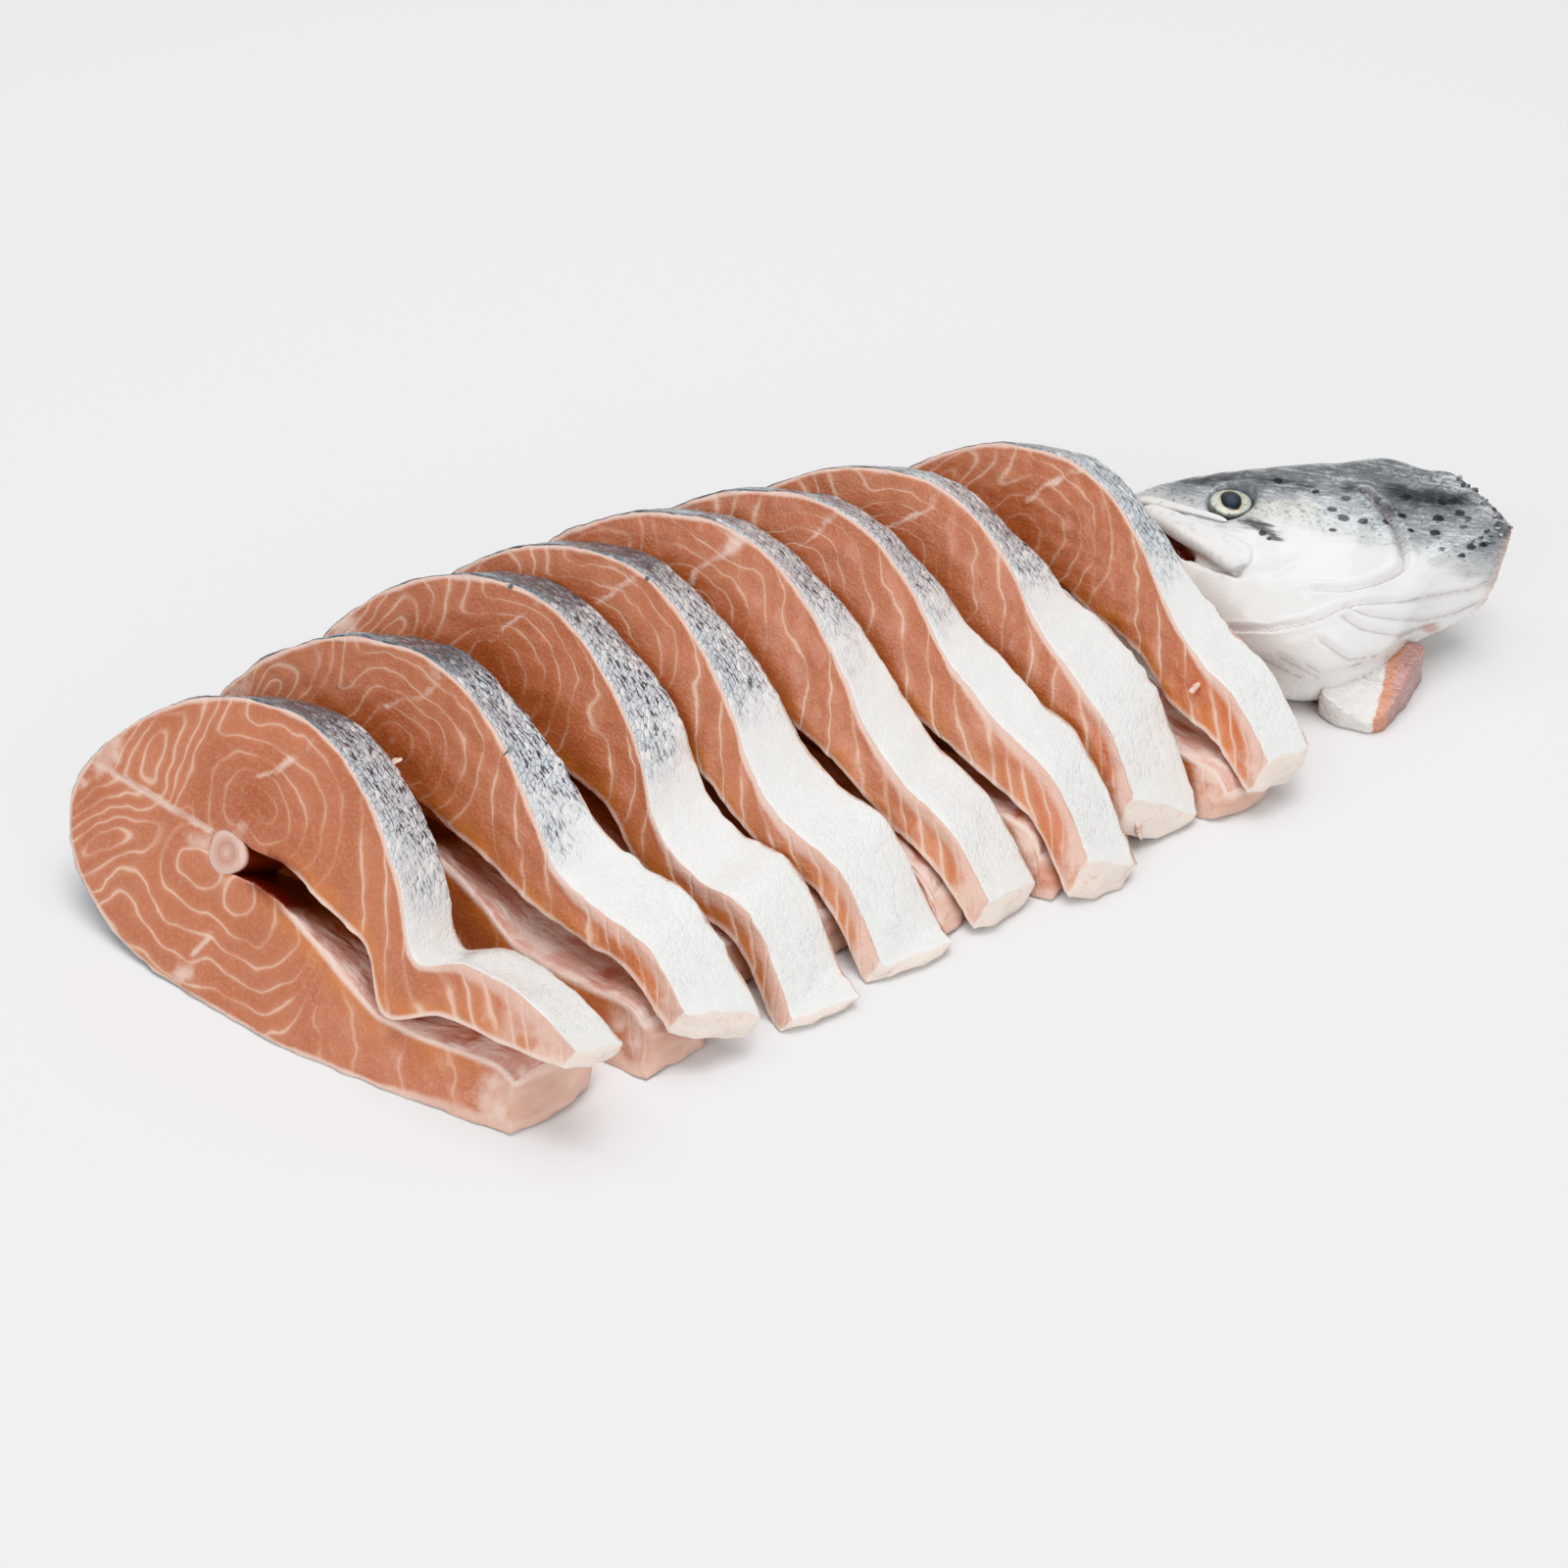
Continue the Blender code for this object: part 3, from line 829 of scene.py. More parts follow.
@dataclass(frozen=True, kw_only=True)
class Steak:
    """One steak: where it stands, how it leans, how its flaps run, and the meshes it is made of.

    The fields without a value of their own are the steak's number, the place and heading of its backbone,
    its lean, the scale of its section and its thickness. Then come how much its upper flap spreads, how far
    that flap lies level, and the backbone's height. The upper flap has its heights at the neck, the crest
    and the drop, its reach, the height of its tip and its thickness at the neck and at the tip. The last ones
    are how much its end slants, how far the lower flap reaches and swings out, and how far the dark of the
    back is shifted round the skin.
    """

    number: int
    x: float
    y: float
    yaw: float
    lean: float
    size: float
    thick: float
    flare: float
    level: float
    bone_z: float
    neck: float
    crest: float
    drop: float
    reach: float
    tip: float
    flap: float
    tip_flap: float
    skew: float
    low_reach: float
    swing: float
    fade: float
    redness: float = 0.25
    back_reach: float = 59.5
    flank_rise: float = 46.0
    pocket_radius: float = 5.9
    pocket_mouth: float = 30.0
    flap_thick: float = 19.0
    flap_thin: float = 3.0
    flap_gap: float = 2.0
    flap_ribs: int = 6
    upper_ribs: int = 9
    low_skew: float = 6.0
    neck_at: float = 72.0
    crest_at: float = 88.0
    squash_below: float = -10.0
    level_from: float = 35.0
    level_to: float = 70.0
    face_wave: float = 0.5
    bone_gap: float = 0.6
    spans: int = 10
    edge_round: float = 1.3
    end_rows: int = 7
    end_crown: float = 3.4
    end_inset: float = 2.4
    flap_lift: float = 0.3
    skin_lift: float = 3.6

    def pocket(self, angle: float) -> Pair:
        """Point on the round pocket that holds the backbone, at an angle from the belly side."""
        turn = math.radians(angle)
        return self.pocket_radius * math.cos(turn), self.pocket_radius * math.sin(turn)

    def outline(self, share: float) -> tuple[np.ndarray, np.ndarray]:
        """Curves of the skin and of the cavity, from the lower flap's tip round the back to the upper one's.

        Args:
            share: Share of the way through the thickness, from the tail side to the head side.

        Returns:
            The skin's points and the cavity's points.
        """
        floor = -self.bone_z / math.cos(math.radians(self.lean)) / self.size
        drop_at = self.crest_at + 0.5 * (self.reach - self.crest_at)
        tip = self.tip + (self.tip - self.drop) / (self.reach - drop_at) * self.skew * share
        reach = self.reach + self.skew * share
        lowest = floor * self.size + self.flap_thin + self.flap_gap
        last_ribs = [
            ((drop_at, self.drop), (drop_at - 4, self.drop - 0.85 * self.flap)),
            ((reach, tip), (reach - 3, tip - self.tip_flap)),
        ]
        (_, (from_along, from_up)), (_, (to_along, to_up)) = last_ribs
        low = self.low_reach + self.low_skew * share
        if to_up < lowest:
            meets = (from_up - lowest) / (from_up - to_up)
            low = min(low, (from_along + meets * (to_along - from_along)) / self.size)
        ribs = [
            ((low, floor), (low - 5, floor + self.flap_thick * 0.8)),
            ((low - 12, floor), (low - 14, floor + self.flap_thick)),
            ((low - 28, floor), (low - 28, floor + self.flap_thick)),
            ((68, floor), (67, floor + self.flap_thick + 1)),
            ((50, floor), (54, floor + self.flap_thick + 7)),
            ((32, floor), (41, -11)),
            ((13, floor), (27, -6)),
            ((-8, floor + 0.5), (14, -4)),
        ]
        lower_back = [(-27, floor + 4), (-42, floor + 12), (-53, floor + 21)]
        ribs += [(skin, self.pocket(-self.pocket_mouth - 25 - 35 * k)) for k, skin in enumerate(lower_back)]
        ribs.append(((-self.back_reach, -9), self.pocket(180)))
        upper_back = [(-57, 5), (-49, 18), (-37, 30), (-21, 40)]
        ribs += [(skin, self.pocket(145 - 32 * k)) for k, skin in enumerate(upper_back)]
        ribs += [
            ((-4, self.flank_rise - 1), (11, 4.5)),
            ((12, self.flank_rise), (22, 4.5)),
            ((29, 41), (33, 1)),
            ((45, 30), (45, -2)),
            ((59, 16), (56, -6)),
        ]
        ribs = [(np.array(skin) * self.size, np.array(inside, float)) for skin, inside in ribs]
        ribs += [
            ((self.neck_at, self.neck), (self.neck_at - 4, self.neck - self.flap - 2)),
            ((self.crest_at, self.crest), (self.crest_at - 2, self.crest - self.flap)),
            *last_ribs,
        ]
        self.tuck_lower_flap(ribs, floor * self.size, share)
        skin = smooth_curve(np.array([rib[0] for rib in ribs], float), self.spans)
        cavity = smooth_curve(np.array([rib[1] for rib in ribs], float), self.spans)
        return skin, cavity

    def tuck_lower_flap(self, ribs: list[tuple], floor: float, share: float) -> None:
        """Thin the lower flap where the upper one presses on it, so that a gap stays between them.

        Args:
            ribs: The ribs of the section, whose first ones are changed.
            floor: The table's height in the section.
            share: Share of the way through the thickness.
        """
        under = np.array([inside for _, inside in ribs[-self.upper_ribs :]], float)
        depth = self.thick * share
        for k in range(self.flap_ribs):
            skin, (along, up) = ribs[k]
            below = float(np.interp(along, under[:, 0], under[:, 1]))
            low_depth = depth + self.swing * float(ramp(along, self.level_from, self.low_reach)) ** 1.2
            roof = self.lay_over(along, below, low_depth / max(self.flare, 1.0), True)[0] - self.flap_gap
            for _ in range(4):
                up -= max(self.lay_over(along, up, depth, False)[0] - roof, 0.0)
            ribs[k] = (skin, np.array((along, max(up, floor + self.flap_thin))))

    def lay_over(
        self, along: Number, up: Number, depth: Number, upper: Number
    ) -> tuple[np.ndarray, np.ndarray]:
        """Shear a point of the section: the flaps lie level and the underside lies flat.

        Args:
            along: Distance towards the belly.
            up: Distance towards the upper flank.
            depth: Distance from the tail-side face.
            upper: Whether a point is in the upper half of the steak.

        Returns:
            The new up and the new depth.
        """
        lean = math.radians(self.lean)
        level = np.where(upper, self.level, 1.0) * ramp(along, self.level_from, self.level_to)
        flare = 1 + (self.flare - 1) * ramp(along, self.level_from, self.reach)
        swing = self.swing * ramp(along, self.level_from, self.low_reach) ** 1.2
        depth = np.where(upper, depth * flare, depth + swing)
        level = np.maximum(level, ramp(up, self.squash_below, -self.bone_z / math.cos(lean)))
        return up + level * depth * math.tan(lean), depth

    def stand(
        self, along: np.ndarray, up: np.ndarray, depth: np.ndarray, upper: np.ndarray, lowest: Number = 0.0
    ) -> np.ndarray:
        """Turn section coordinates and depths into points of the row, with the flaps laid level.

        Args:
            along: Distance towards the belly.
            up: Distance towards the upper flank.
            depth: Distance from the tail-side face.
            upper: Whether a point is in the upper half of the steak.
            lowest: The least height above the table.

        Returns:
            The points of the row.
        """
        lean, yaw = math.radians(self.lean), math.radians(self.yaw)
        up, depth = self.lay_over(along, up, depth, upper)
        across = depth * math.cos(lean) + up * math.sin(lean)
        x = self.x + across * math.cos(yaw) + along * math.sin(yaw)
        y = self.y + across * math.sin(yaw) - along * math.cos(yaw)
        z = self.bone_z + up * math.cos(lean) - depth * math.sin(lean)
        return np.stack([x, y, np.maximum(z, lowest)], axis=-1)

    @staticmethod
    def rounding(near: np.ndarray, radius: Number) -> np.ndarray:
        """How far a rounded edge falls back at a distance from the edge."""
        return 0.29 * radius * np.clip(1 - near / radius, 0, 1) ** 2

    def near_face(self, depth: np.ndarray) -> np.ndarray:
        """Distance from the nearer cut face."""
        return np.minimum(depth, self.thick - depth)

    def face_waves(self, probe: np.ndarray, shares: np.ndarray) -> np.ndarray:
        """How far the cut faces wave and crumble.

        Args:
            probe: Each point's place in the section and its depth.
            shares: Share of each point's way from the cavity to the skin.

        Returns:
            The move of each point towards the middle of the thickness.
        """
        x, y, depth = np.moveaxis(probe, -1, 0)
        waves = np.sin(x / 11 + 1.7 * self.number) * np.cos(y / 13 + 0.9 * self.number)
        rough = 0.16 * Ruffle(50 + self.number, 9.0).at(probe) * ramp(self.near_face(depth), 2.0, 0.0)
        return self.face_wave * waves * np.sin(math.pi * shares) + rough

    def rounded_edges(
        self, probe: np.ndarray, shares: np.ndarray, span: np.ndarray
    ) -> tuple[np.ndarray, np.ndarray]:
        """How far the rounded, slightly ragged edges fall back and the skin is dented.

        Args:
            probe: Each point's place in the section and its depth.
            shares: Share of each point's way from the cavity to the skin.
            span: Distance from the cavity to the skin.

        Returns:
            The fall of the cut faces towards the middle of the thickness, and each point's move outwards.
        """
        near_face = self.near_face(probe[..., 2])
        ragged = 1 + 0.55 * Ruffle(90 + self.number, 7.0).at(probe)
        radius = self.edge_round * np.clip(ragged, 0.4, 1.9)
        fall = self.rounding(np.minimum((1 - shares) * span, shares * span), radius)
        pull = self.rounding(near_face, radius)
        dent = 0.35 * Ruffle(20 + self.number, 24.0).at(probe)
        dent += 0.12 * Ruffle(70 + self.number, 6.0).at(probe)
        outwards = np.where(shares == 1, -pull + dent - 0.1, np.where(shares == 0, pull, 0.0))
        return np.where(near_face == 0, fall, 0.0), outwards

    def crown_ends(self, plane: np.ndarray, probe: np.ndarray, middle: np.ndarray, crown: np.ndarray) -> None:
        """Make the ends of both flaps crowned and uneven.

        Args:
            plane: Each point's place in the section, which is changed.
            probe: Each point's first place in the section and its depth.
            middle: The line halfway between the cavity and the skin.
            crown: Height of the crown, as a share, at each point of an end.
        """
        last = len(middle) - 1
        for end, inside in ((0, 3), (last, last - 3)):
            direction = middle[end] - middle[inside]
            direction /= np.linalg.norm(direction)
            uneven = Ruffle(130 + 2 * self.number + (end > 0), 8.0).at(probe[end])
            bulge = self.end_crown * crown - self.end_inset + 0.7 * uneven
            for k in range(self.end_rows):
                row = end - k if end else k
                plane[row] += direction * bulge[..., None] * (1 - k / self.end_rows) ** 2

    def flesh(self) -> Shape:
        """Build the horseshoe of flesh and skin as a fine closed lattice.

        The lattice runs along the section's curves, from the cavity to the skin and through the thickness.
        """
        shares = np.array([0, 0.02, 0.05, 0.09, *np.linspace(0.12, 0.88, 27), 0.91, 0.95, 0.98, 1.0])[:, None]
        layers = np.array([0, 0.03, 0.07, 0.13, 0.22, 0.36, 0.5, 0.64, 0.78, 0.87, 0.93, 0.97, 1.0])
        curves = [self.outline(share) for share in layers]
        skin, cavity = (np.stack(curve, axis=1)[:, None] for curve in zip(*curves))
        last = len(skin) - 1
        grid = (last + 1, len(shares), len(layers))
        upper = np.broadcast_to((np.arange(last + 1) > last / 2)[:, None, None], grid)
        flat = cavity * (1 - shares[..., None]) + skin * shares[..., None]
        across = np.broadcast_to(self.thick * layers, grid)
        probe = np.concatenate([flat, across[..., None]], axis=-1)
        span = np.linalg.norm(skin - cavity, axis=-1)

        # The waves, the edges and the ends, and where each point then stands in the row.
        facing = 1 - 2 * layers
        fall, outwards = self.rounded_edges(probe, shares, span)
        depth = across + self.face_waves(probe, shares) * facing + fall * np.sign(facing)
        plane = flat + (skin - cavity) / span[..., None] * outwards[..., None]
        middle = (skin[:, 0, 0] + cavity[:, 0, 0]) / 2
        crown = (1 - (2 * shares - 1) ** 2) ** 0.6 * (1 - facing**2) ** 0.6
        self.crown_ends(plane, probe, middle, crown)
        lifted = upper & (flat[..., 0] > self.neck_at)
        lowest = np.where(lifted, self.flap_lift + self.skin_lift * shares, 0.0)
        points = self.stand(plane[..., 0], plane[..., 1], depth, upper, lowest)

        # What the finishes read there.
        around, run = run_length(skin[:, 0, 0]), run_length(middle)
        around = np.broadcast_to((around - around[last // 2])[:, None, None], grid)
        to_tip = np.where(np.arange(last + 1) > last / 2, run[-1] - run, run)
        to_tip = np.broadcast_to(to_tip[:, None, None], grid)
        seed = np.full(grid, 7.3 * self.number)
        x, y = flat[..., 0], flat[..., 1]
        rim, inner = (1 - shares) * span, shares * span
        pattern = MusclePattern(self.number)
        values = {
            "section": np.stack([x, y, seed], axis=-1),
            "margins": np.stack([rim, inner, self.off_spine(x, y)], axis=-1),
            "muscle": pattern.blocks(x, y, rim, upper),
            "marks": pattern.marks(x, y, inner, upper, to_tip),
            "skin_place": np.stack([around, across, seed], axis=-1),
            "skin_tone": self.skin_tone(around, across),
            "ends": np.stack([to_tip, np.where(upper, self.redness, 0.15), 1.0 * upper], axis=-1),
        }
        return box_lattice(points, values)

    def off_spine(self, x: np.ndarray, y: np.ndarray) -> np.ndarray:
        """Distance from the pale sheet that runs from the backbone to the middle of the back."""
        wavy = 0.4 * Ruffle(800 + self.number, 9.0).at(np.stack([x, y, 0 * x], axis=-1))
        away = np.abs(y - 3.3 + 0.03 * (x + 5) + wavy)
        return away + 9.0 * (ramp(x, -7, -3) + ramp(x, -53, -58))

    def skin_tone(self, around: np.ndarray, across: np.ndarray) -> np.ndarray:
        """How dark, how white and how dashed the skin is, by its distance from the middle of the back.

        Args:
            around: Distance round the outline.
            across: Distance through the thickness.

        Returns:
            The three shares for each place.
        """
        probe = np.stack([around, across, 0 * across], axis=-1)
        ragged = 5.0 * Ruffle(820 + self.number, 22.0).at(probe)
        ragged += 2.5 * Ruffle(840 + self.number, 7.0).at(probe)
        out = np.abs(around) + ragged - self.fade
        dark = ramp(out, 116, 68)
        white = ramp(out, 126, 156)
        dashed = ramp(out, 154, 130) * ramp(out, 60, 86) * (0.25 + 0.75 * ramp(across, 1.2, 4.0))
        return np.stack([dark, white, dashed], axis=-1)

    def bone(self, spokes: int = 40) -> Shape:
        """Build the disc of backbone, with a slightly uneven edge and a shallow dish in its faces."""
        turns = 2 * math.pi * np.arange(spokes) / spokes
        thick = self.thick - self.bone_gap
        middle, *dish = (
            (0.0, 0.25), (1.6, 0.2), (3.2, 0.0), (4.8, -0.12), (5.8, -0.05), (6.5, 0.25), (6.8, 0.8),
            (6.7, 2.8),
        )
        uneven = 1 + 0.04 * np.sin(3 * turns + self.number) + 0.025 * np.sin(5 * turns + 2 * self.number)
        rings = dish + [(radius, thick - z) for radius, z in reversed(dish)]
        flat, depth = [], []
        for radius, z in rings:
            flat.append(np.stack([radius * uneven * np.cos(turns), radius * uneven * np.sin(turns)], axis=-1))
            depth.append(np.full(spokes, z))
        flat.append(np.zeros((2, 2)))
        depth.append(np.array([middle[1], thick - middle[1]]))
        flat, depth = np.vstack(flat), np.concatenate(depth)
        points = self.stand(flat[:, 0], flat[:, 1], depth, np.ones(len(flat), bool))
        faces = ring_faces(len(rings), spokes) + end_fans(len(rings), spokes)
        section = np.column_stack([flat, np.full(len(flat), 5.0 * self.number)])
        inwards = np.minimum(depth, thick - depth)
        margins = np.column_stack([inwards, inwards, inwards])
        return Shape(points, faces, {"section": section, "margins": margins})

    def build(self, finishes: list[bpy.types.Material], bone: bpy.types.Material) -> None:
        """Build and register the steak's flesh and its backbone."""
        piece = self.flesh().make(f"steak_{self.number}_flesh_and_skin", finishes)
        register(piece, Slot.FLESH, f"steak_{self.number}")
        disc = self.bone().make(f"steak_{self.number}_backbone_disc", [bone])
        register(disc, Slot.BONE, f"backbone_{self.number}")


STEAKS = (
    Steak(
        number=1, x=-129, y=-8, yaw=24, lean=34, size=1.00, thick=22,
        flare=0.8, level=0.3, bone_z=36.0, neck=-1, crest=5, drop=4, reach=133,
        tip=-2, flap=17, tip_flap=6, skew=2,
        low_reach=116, swing=11, fade=0,
    ),
    Steak(
        number=2, x=-86, y=-2, yaw=27, lean=29, size=1.00, thick=18,
        flare=1.2, level=1.0, bone_z=37.0, neck=3, crest=-2, drop=-6, reach=124,
        tip=-20, flap=11, tip_flap=8, skew=13,
        low_reach=118, swing=0, fade=8,
    ),
    Steak(
        number=3, x=-47, y=9, yaw=27, lean=29, size=1.00, thick=20,
        flare=1.1, level=1.0, bone_z=37.8, neck=-4, crest=-13, drop=-18, reach=133,
        tip=-43, flap=10, tip_flap=6, skew=10,
        low_reach=108, swing=0, fade=4,
    ),
    Steak(
        number=4, x=-17, y=9, yaw=28, lean=29, size=1.00, thick=19,
        flare=1.3, level=1.0, bone_z=38.0, neck=0, crest=-10, drop=-17, reach=128,
        tip=-38, flap=11, tip_flap=8, skew=12,
        low_reach=110, swing=0, fade=0,
    ),
    Steak(
        number=5, x=16, y=7, yaw=30.7, lean=30.6, size=1.03, thick=17.5,
        flare=1.1, level=1.0, bone_z=38.0, neck=4, crest=-8, drop=-17, reach=126,
        tip=-34, flap=13, tip_flap=9, skew=5,
        low_reach=120, swing=-4, fade=-10,
    ),
    Steak(
        number=6, x=48, y=3, yaw=30.8, lean=31.3, size=1.02, thick=16,
        flare=1.1, level=1.0, bone_z=38.0, neck=8, crest=-1, drop=-10, reach=124,
        tip=-30, flap=16, tip_flap=13, skew=9,
        low_reach=114, swing=0, fade=-10, redness=0.6,
    ),
    Steak(
        number=7, x=82, y=1, yaw=29, lean=32, size=1.00, thick=18,
        flare=1.4, level=1.0, bone_z=37.4, neck=7, crest=-4, drop=-13, reach=106,
        tip=-25, flap=15, tip_flap=11, skew=13,
        low_reach=110, swing=-2, fade=-12, redness=0.45,
    ),
    Steak(
        number=8, x=131, y=-4, yaw=24, lean=30, size=0.93, thick=17,
        flare=1.0, level=1.0, bone_z=36.0, neck=2, crest=-5, drop=-12, reach=107,
        tip=-20, flap=15, tip_flap=12, skew=4,
        low_reach=104, swing=-3, fade=-18, redness=0.9,
    ),
)


@dataclass(frozen=True)
class HeadSkinFinish:
    """Wet skin of the head: dark grey with black spots above, silver on the cheek, white at the throat."""

    crown: Colour = (0.085, 0.095, 0.105)
    grey: Colour = (0.26, 0.285, 0.305)
    silver: Colour = (0.56, 0.58, 0.585)
    white: Colour = (0.82, 0.82, 0.80)
    beige: Colour = (0.60, 0.575, 0.50)
    black: Colour = (0.030, 0.034, 0.038)
    # Painted shade in the creases, along the gill cover's edge and the closed lips.
    crease: Colour = (0.36, 0.30, 0.30)
    raw: Colour = (0.50, 0.20, 0.135)
    pink: Colour = (0.70, 0.46, 0.39)
    # The open mouth's gap: the red inside of the mouth, darkened by painted shade.
    mouth: Colour = (0.10, 0.025, 0.02)
    spot: Colour = (0.022, 0.026, 0.032)

    def make(self) -> bpy.types.Material:
        """Build the material."""
        g = Graph("wet head skin")
        flat = g.place("face_place")
        u, v, height = g.split(flat)
        tone, raw, from_eye = g.split(g.place("face_tone"))
        from_dark, from_light, from_tear = g.split(g.place("face_dark"))
        from_spot, from_mouth, from_fold = g.split(g.place("face_marks"))
        uneven = g.noise(flat, 9.0, 3.0)
        fine = g.noise(flat, 1.5, 3.0)
        streaks = g.noise(g.join(g.product(u, 0.22), v, height), 1.7, 3.0)
        ragged = g.total(tone, g.product(uneven, 12.0), g.product(streaks, 7.0), -9.5)

        # White below, silver on the cheek and grey above, with streaks of silver.
        colour = g.blend(g.smooth(ragged, -10.0, -1.0), self.white, self.silver)
        greyed = g.product(g.smooth(ragged, -1.0, 9.0), g.smooth(streaks, 0.25, 0.5))
        colour = g.blend(greyed, colour, self.grey)
        colour = g.blend(g.product(g.smooth(ragged, 9.0, 24.0), 0.65), colour, self.crown)
        pale = g.product(g.smooth(streaks, 0.50, 0.64), g.smooth(ragged, -2.0, 5.0))
        pale = g.product(pale, g.smooth(fine, 0.3, 0.55), 0.6)
        glitter = g.product(g.smooth(tone, 22.0, 29.0), g.smooth(u, 40.0, 52.0))
        glitter = g.product(glitter, g.smooth(fine, 0.46, 0.6), 0.5)
        colour = g.blend(g.total(pale, glitter), colour, self.silver)

        # Soft patches and freckles.
        light = g.total(from_light, g.product(uneven, -6.0), g.product(streaks, -4.0), 5.0)
        colour = g.blend(g.product(g.smooth(light, 9.0, 2.5), 0.5), colour, self.beige)
        dark = g.total(from_dark, g.product(uneven, -9.0), g.product(streaks, -9.0))
        dark = g.total(dark, g.product(fine, -4.0), 11.0)
        colour = g.blend(g.product(g.smooth(dark, 7.0, 1.5), 0.88), colour, self.black)
        freckles = g.product(g.smooth(fine, 0.56, 0.66), g.smooth(ragged, -6.0, 1.0))
        colour = g.blend(g.product(freckles, 0.55), colour, self.crown)

        # Marks with a place of their own: the eye's rim, the tear, the spots, the creases with their painted
        # shade, and the mouth.
        colour = g.blend(g.product(g.smooth(from_eye, 11.0, 7.6), 0.45), colour, self.grey)
        colour = g.blend(g.product(g.smooth(from_eye, 8.0, 7.3), 0.75), colour, self.crown)
        colour = g.blend(g.product(g.smooth(from_tear, 4.5, 1.0), 0.6), colour, self.raw)
        wavy = g.math("MULTIPLY_ADD", fine, 1.6, g.math("SUBTRACT", from_spot, 0.8))
        colour = g.blend(g.product(g.smooth(wavy, 0.35, -0.35), 0.93), colour, self.spot)
        # Painted shade along the creases: a thin dark line and a soft dark band beside it.
        crease_shade_line = g.product(g.smooth(from_fold, 0.8, 0.2), 0.42)
        crease_shade_band = g.product(g.smooth(from_fold, 4.0, 0.4), 0.15)
        colour = g.blend(g.total(crease_shade_line, crease_shade_band), colour, self.crease)
        # The gap of the open mouth: its own red, partly painted shade of the deep groove.
        colour = g.blend(g.smooth(from_mouth, 3.2, 1.9), colour, self.mouth)
        flesh = g.blend(g.smooth(streaks, 0.4, 0.6), self.raw, self.pink)
        colour = g.blend(raw, colour, flesh)

        rise = g.total(g.product(fine, 0.45), g.product(streaks, 0.5), uneven)
        rise = g.product(rise, g.math("MULTIPLY_ADD", g.smooth(ragged, -8.0, 2.0), 0.86, 0.14))
        roughness = g.math("MULTIPLY_ADD", fine, 0.22, 0.16)
        return g.shade(colour, roughness, g.bump(rise, 0.55), Metallic=0.08, **g.wet(1.5, 0.0))


@dataclass(frozen=True)
class JawBoneFinish:
    """The smooth off-white skin over the upper jaw bone, with painted shade along its sides."""

    white: Colour = (0.82, 0.82, 0.80)
    grey: Colour = (0.42, 0.43, 0.43)
    # Where the painted shade along the sides starts and where it is full, as a share of the half width.
    side_shade_from: float = 0.55
    side_shade_to: float = 1.0

    def make(self) -> bpy.types.Material:
        """Build the material."""
        g = Graph("jaw bone skin")
        u, v, edge = g.split(g.place("face_place"))
        uneven = g.noise(g.join(u, v), 3.5, 3.0)
        colour = g.blend(g.product(g.smooth(uneven, 0.52, 0.68), 0.4), self.white, self.grey)
        # Painted shade: greyer towards the strip's sides.
        colour = g.blend(g.product(g.smooth(edge, self.side_shade_from, self.side_shade_to), 0.6), colour, self.grey)
        return g.shade(colour, 0.26, g.bump(uneven, 0.5), **g.wet(1.5, 0.0))


@dataclass(frozen=True)
class CollarFinish:
    """The torn collar: white skin outside, orange flesh on its cut edge, a dusky pink sheet behind."""

    flesh: Colour = (0.62, 0.29, 0.19)
    skin: Colour = (0.80, 0.79, 0.77)
    brown: Colour = (0.40, 0.29, 0.23)
    dusky: Colour = (0.50, 0.28, 0.26)
    fat: Colour = (0.78, 0.60, 0.53)
    skin_end: float = 57.5
    flesh_end: float = 61.0
    brown_end: float = 40.0

    def make(self) -> bpy.types.Material:
        """Build the material."""
        g = Graph("raw collar")
        place = g.place("face_place")
        u, v, height = g.split(place)
        uneven = g.noise(place, 4.0, 3.0)
        streak = g.noise(g.join(g.product(u, 0.35), v, height), 1.1, 3.0)
        across = g.total(u, g.product(uneven, 3.0), -1.5)
        colour = g.blend(g.smooth(across, self.skin_end - 0.4, self.skin_end + 0.6), self.skin, self.flesh)
        colour = g.blend(g.smooth(across, self.flesh_end - 1.0, self.flesh_end + 1.5), colour, self.dusky)
        browned = g.product(g.smooth(across, self.brown_end + 3.0, self.brown_end - 2.0), 0.7)
        colour = g.blend(browned, colour, self.brown)
        colour = g.blend(g.product(g.smooth(streak, 0.5, 0.68), 0.4), colour, self.fat)
        roughness = g.math("MULTIPLY_ADD", uneven, 0.25, 0.15)
        return g.shade(colour, roughness, g.bump(g.total(uneven, streak), 1.1), **g.wet(2.0, 0.0))


@dataclass(frozen=True)
class FringeFinish:
    """Loose dark scales, each blended by a random share towards a silvery grey."""

    dark: Colour = (0.07, 0.078, 0.088)
    rim: Colour = (0.46, 0.48, 0.49)

    def make(self) -> bpy.types.Material:
        """Build the material."""
        g = Graph("loose scales")
        share, which, _ = g.split(g.place("scale_place"))
        colour = g.blend(g.smooth(g.product(which, share), 0.45, 1.0), self.dark, self.rim)
        return g.shade(colour, 0.3, None, Metallic=0.1, **g.wet(1.0, 0.0))


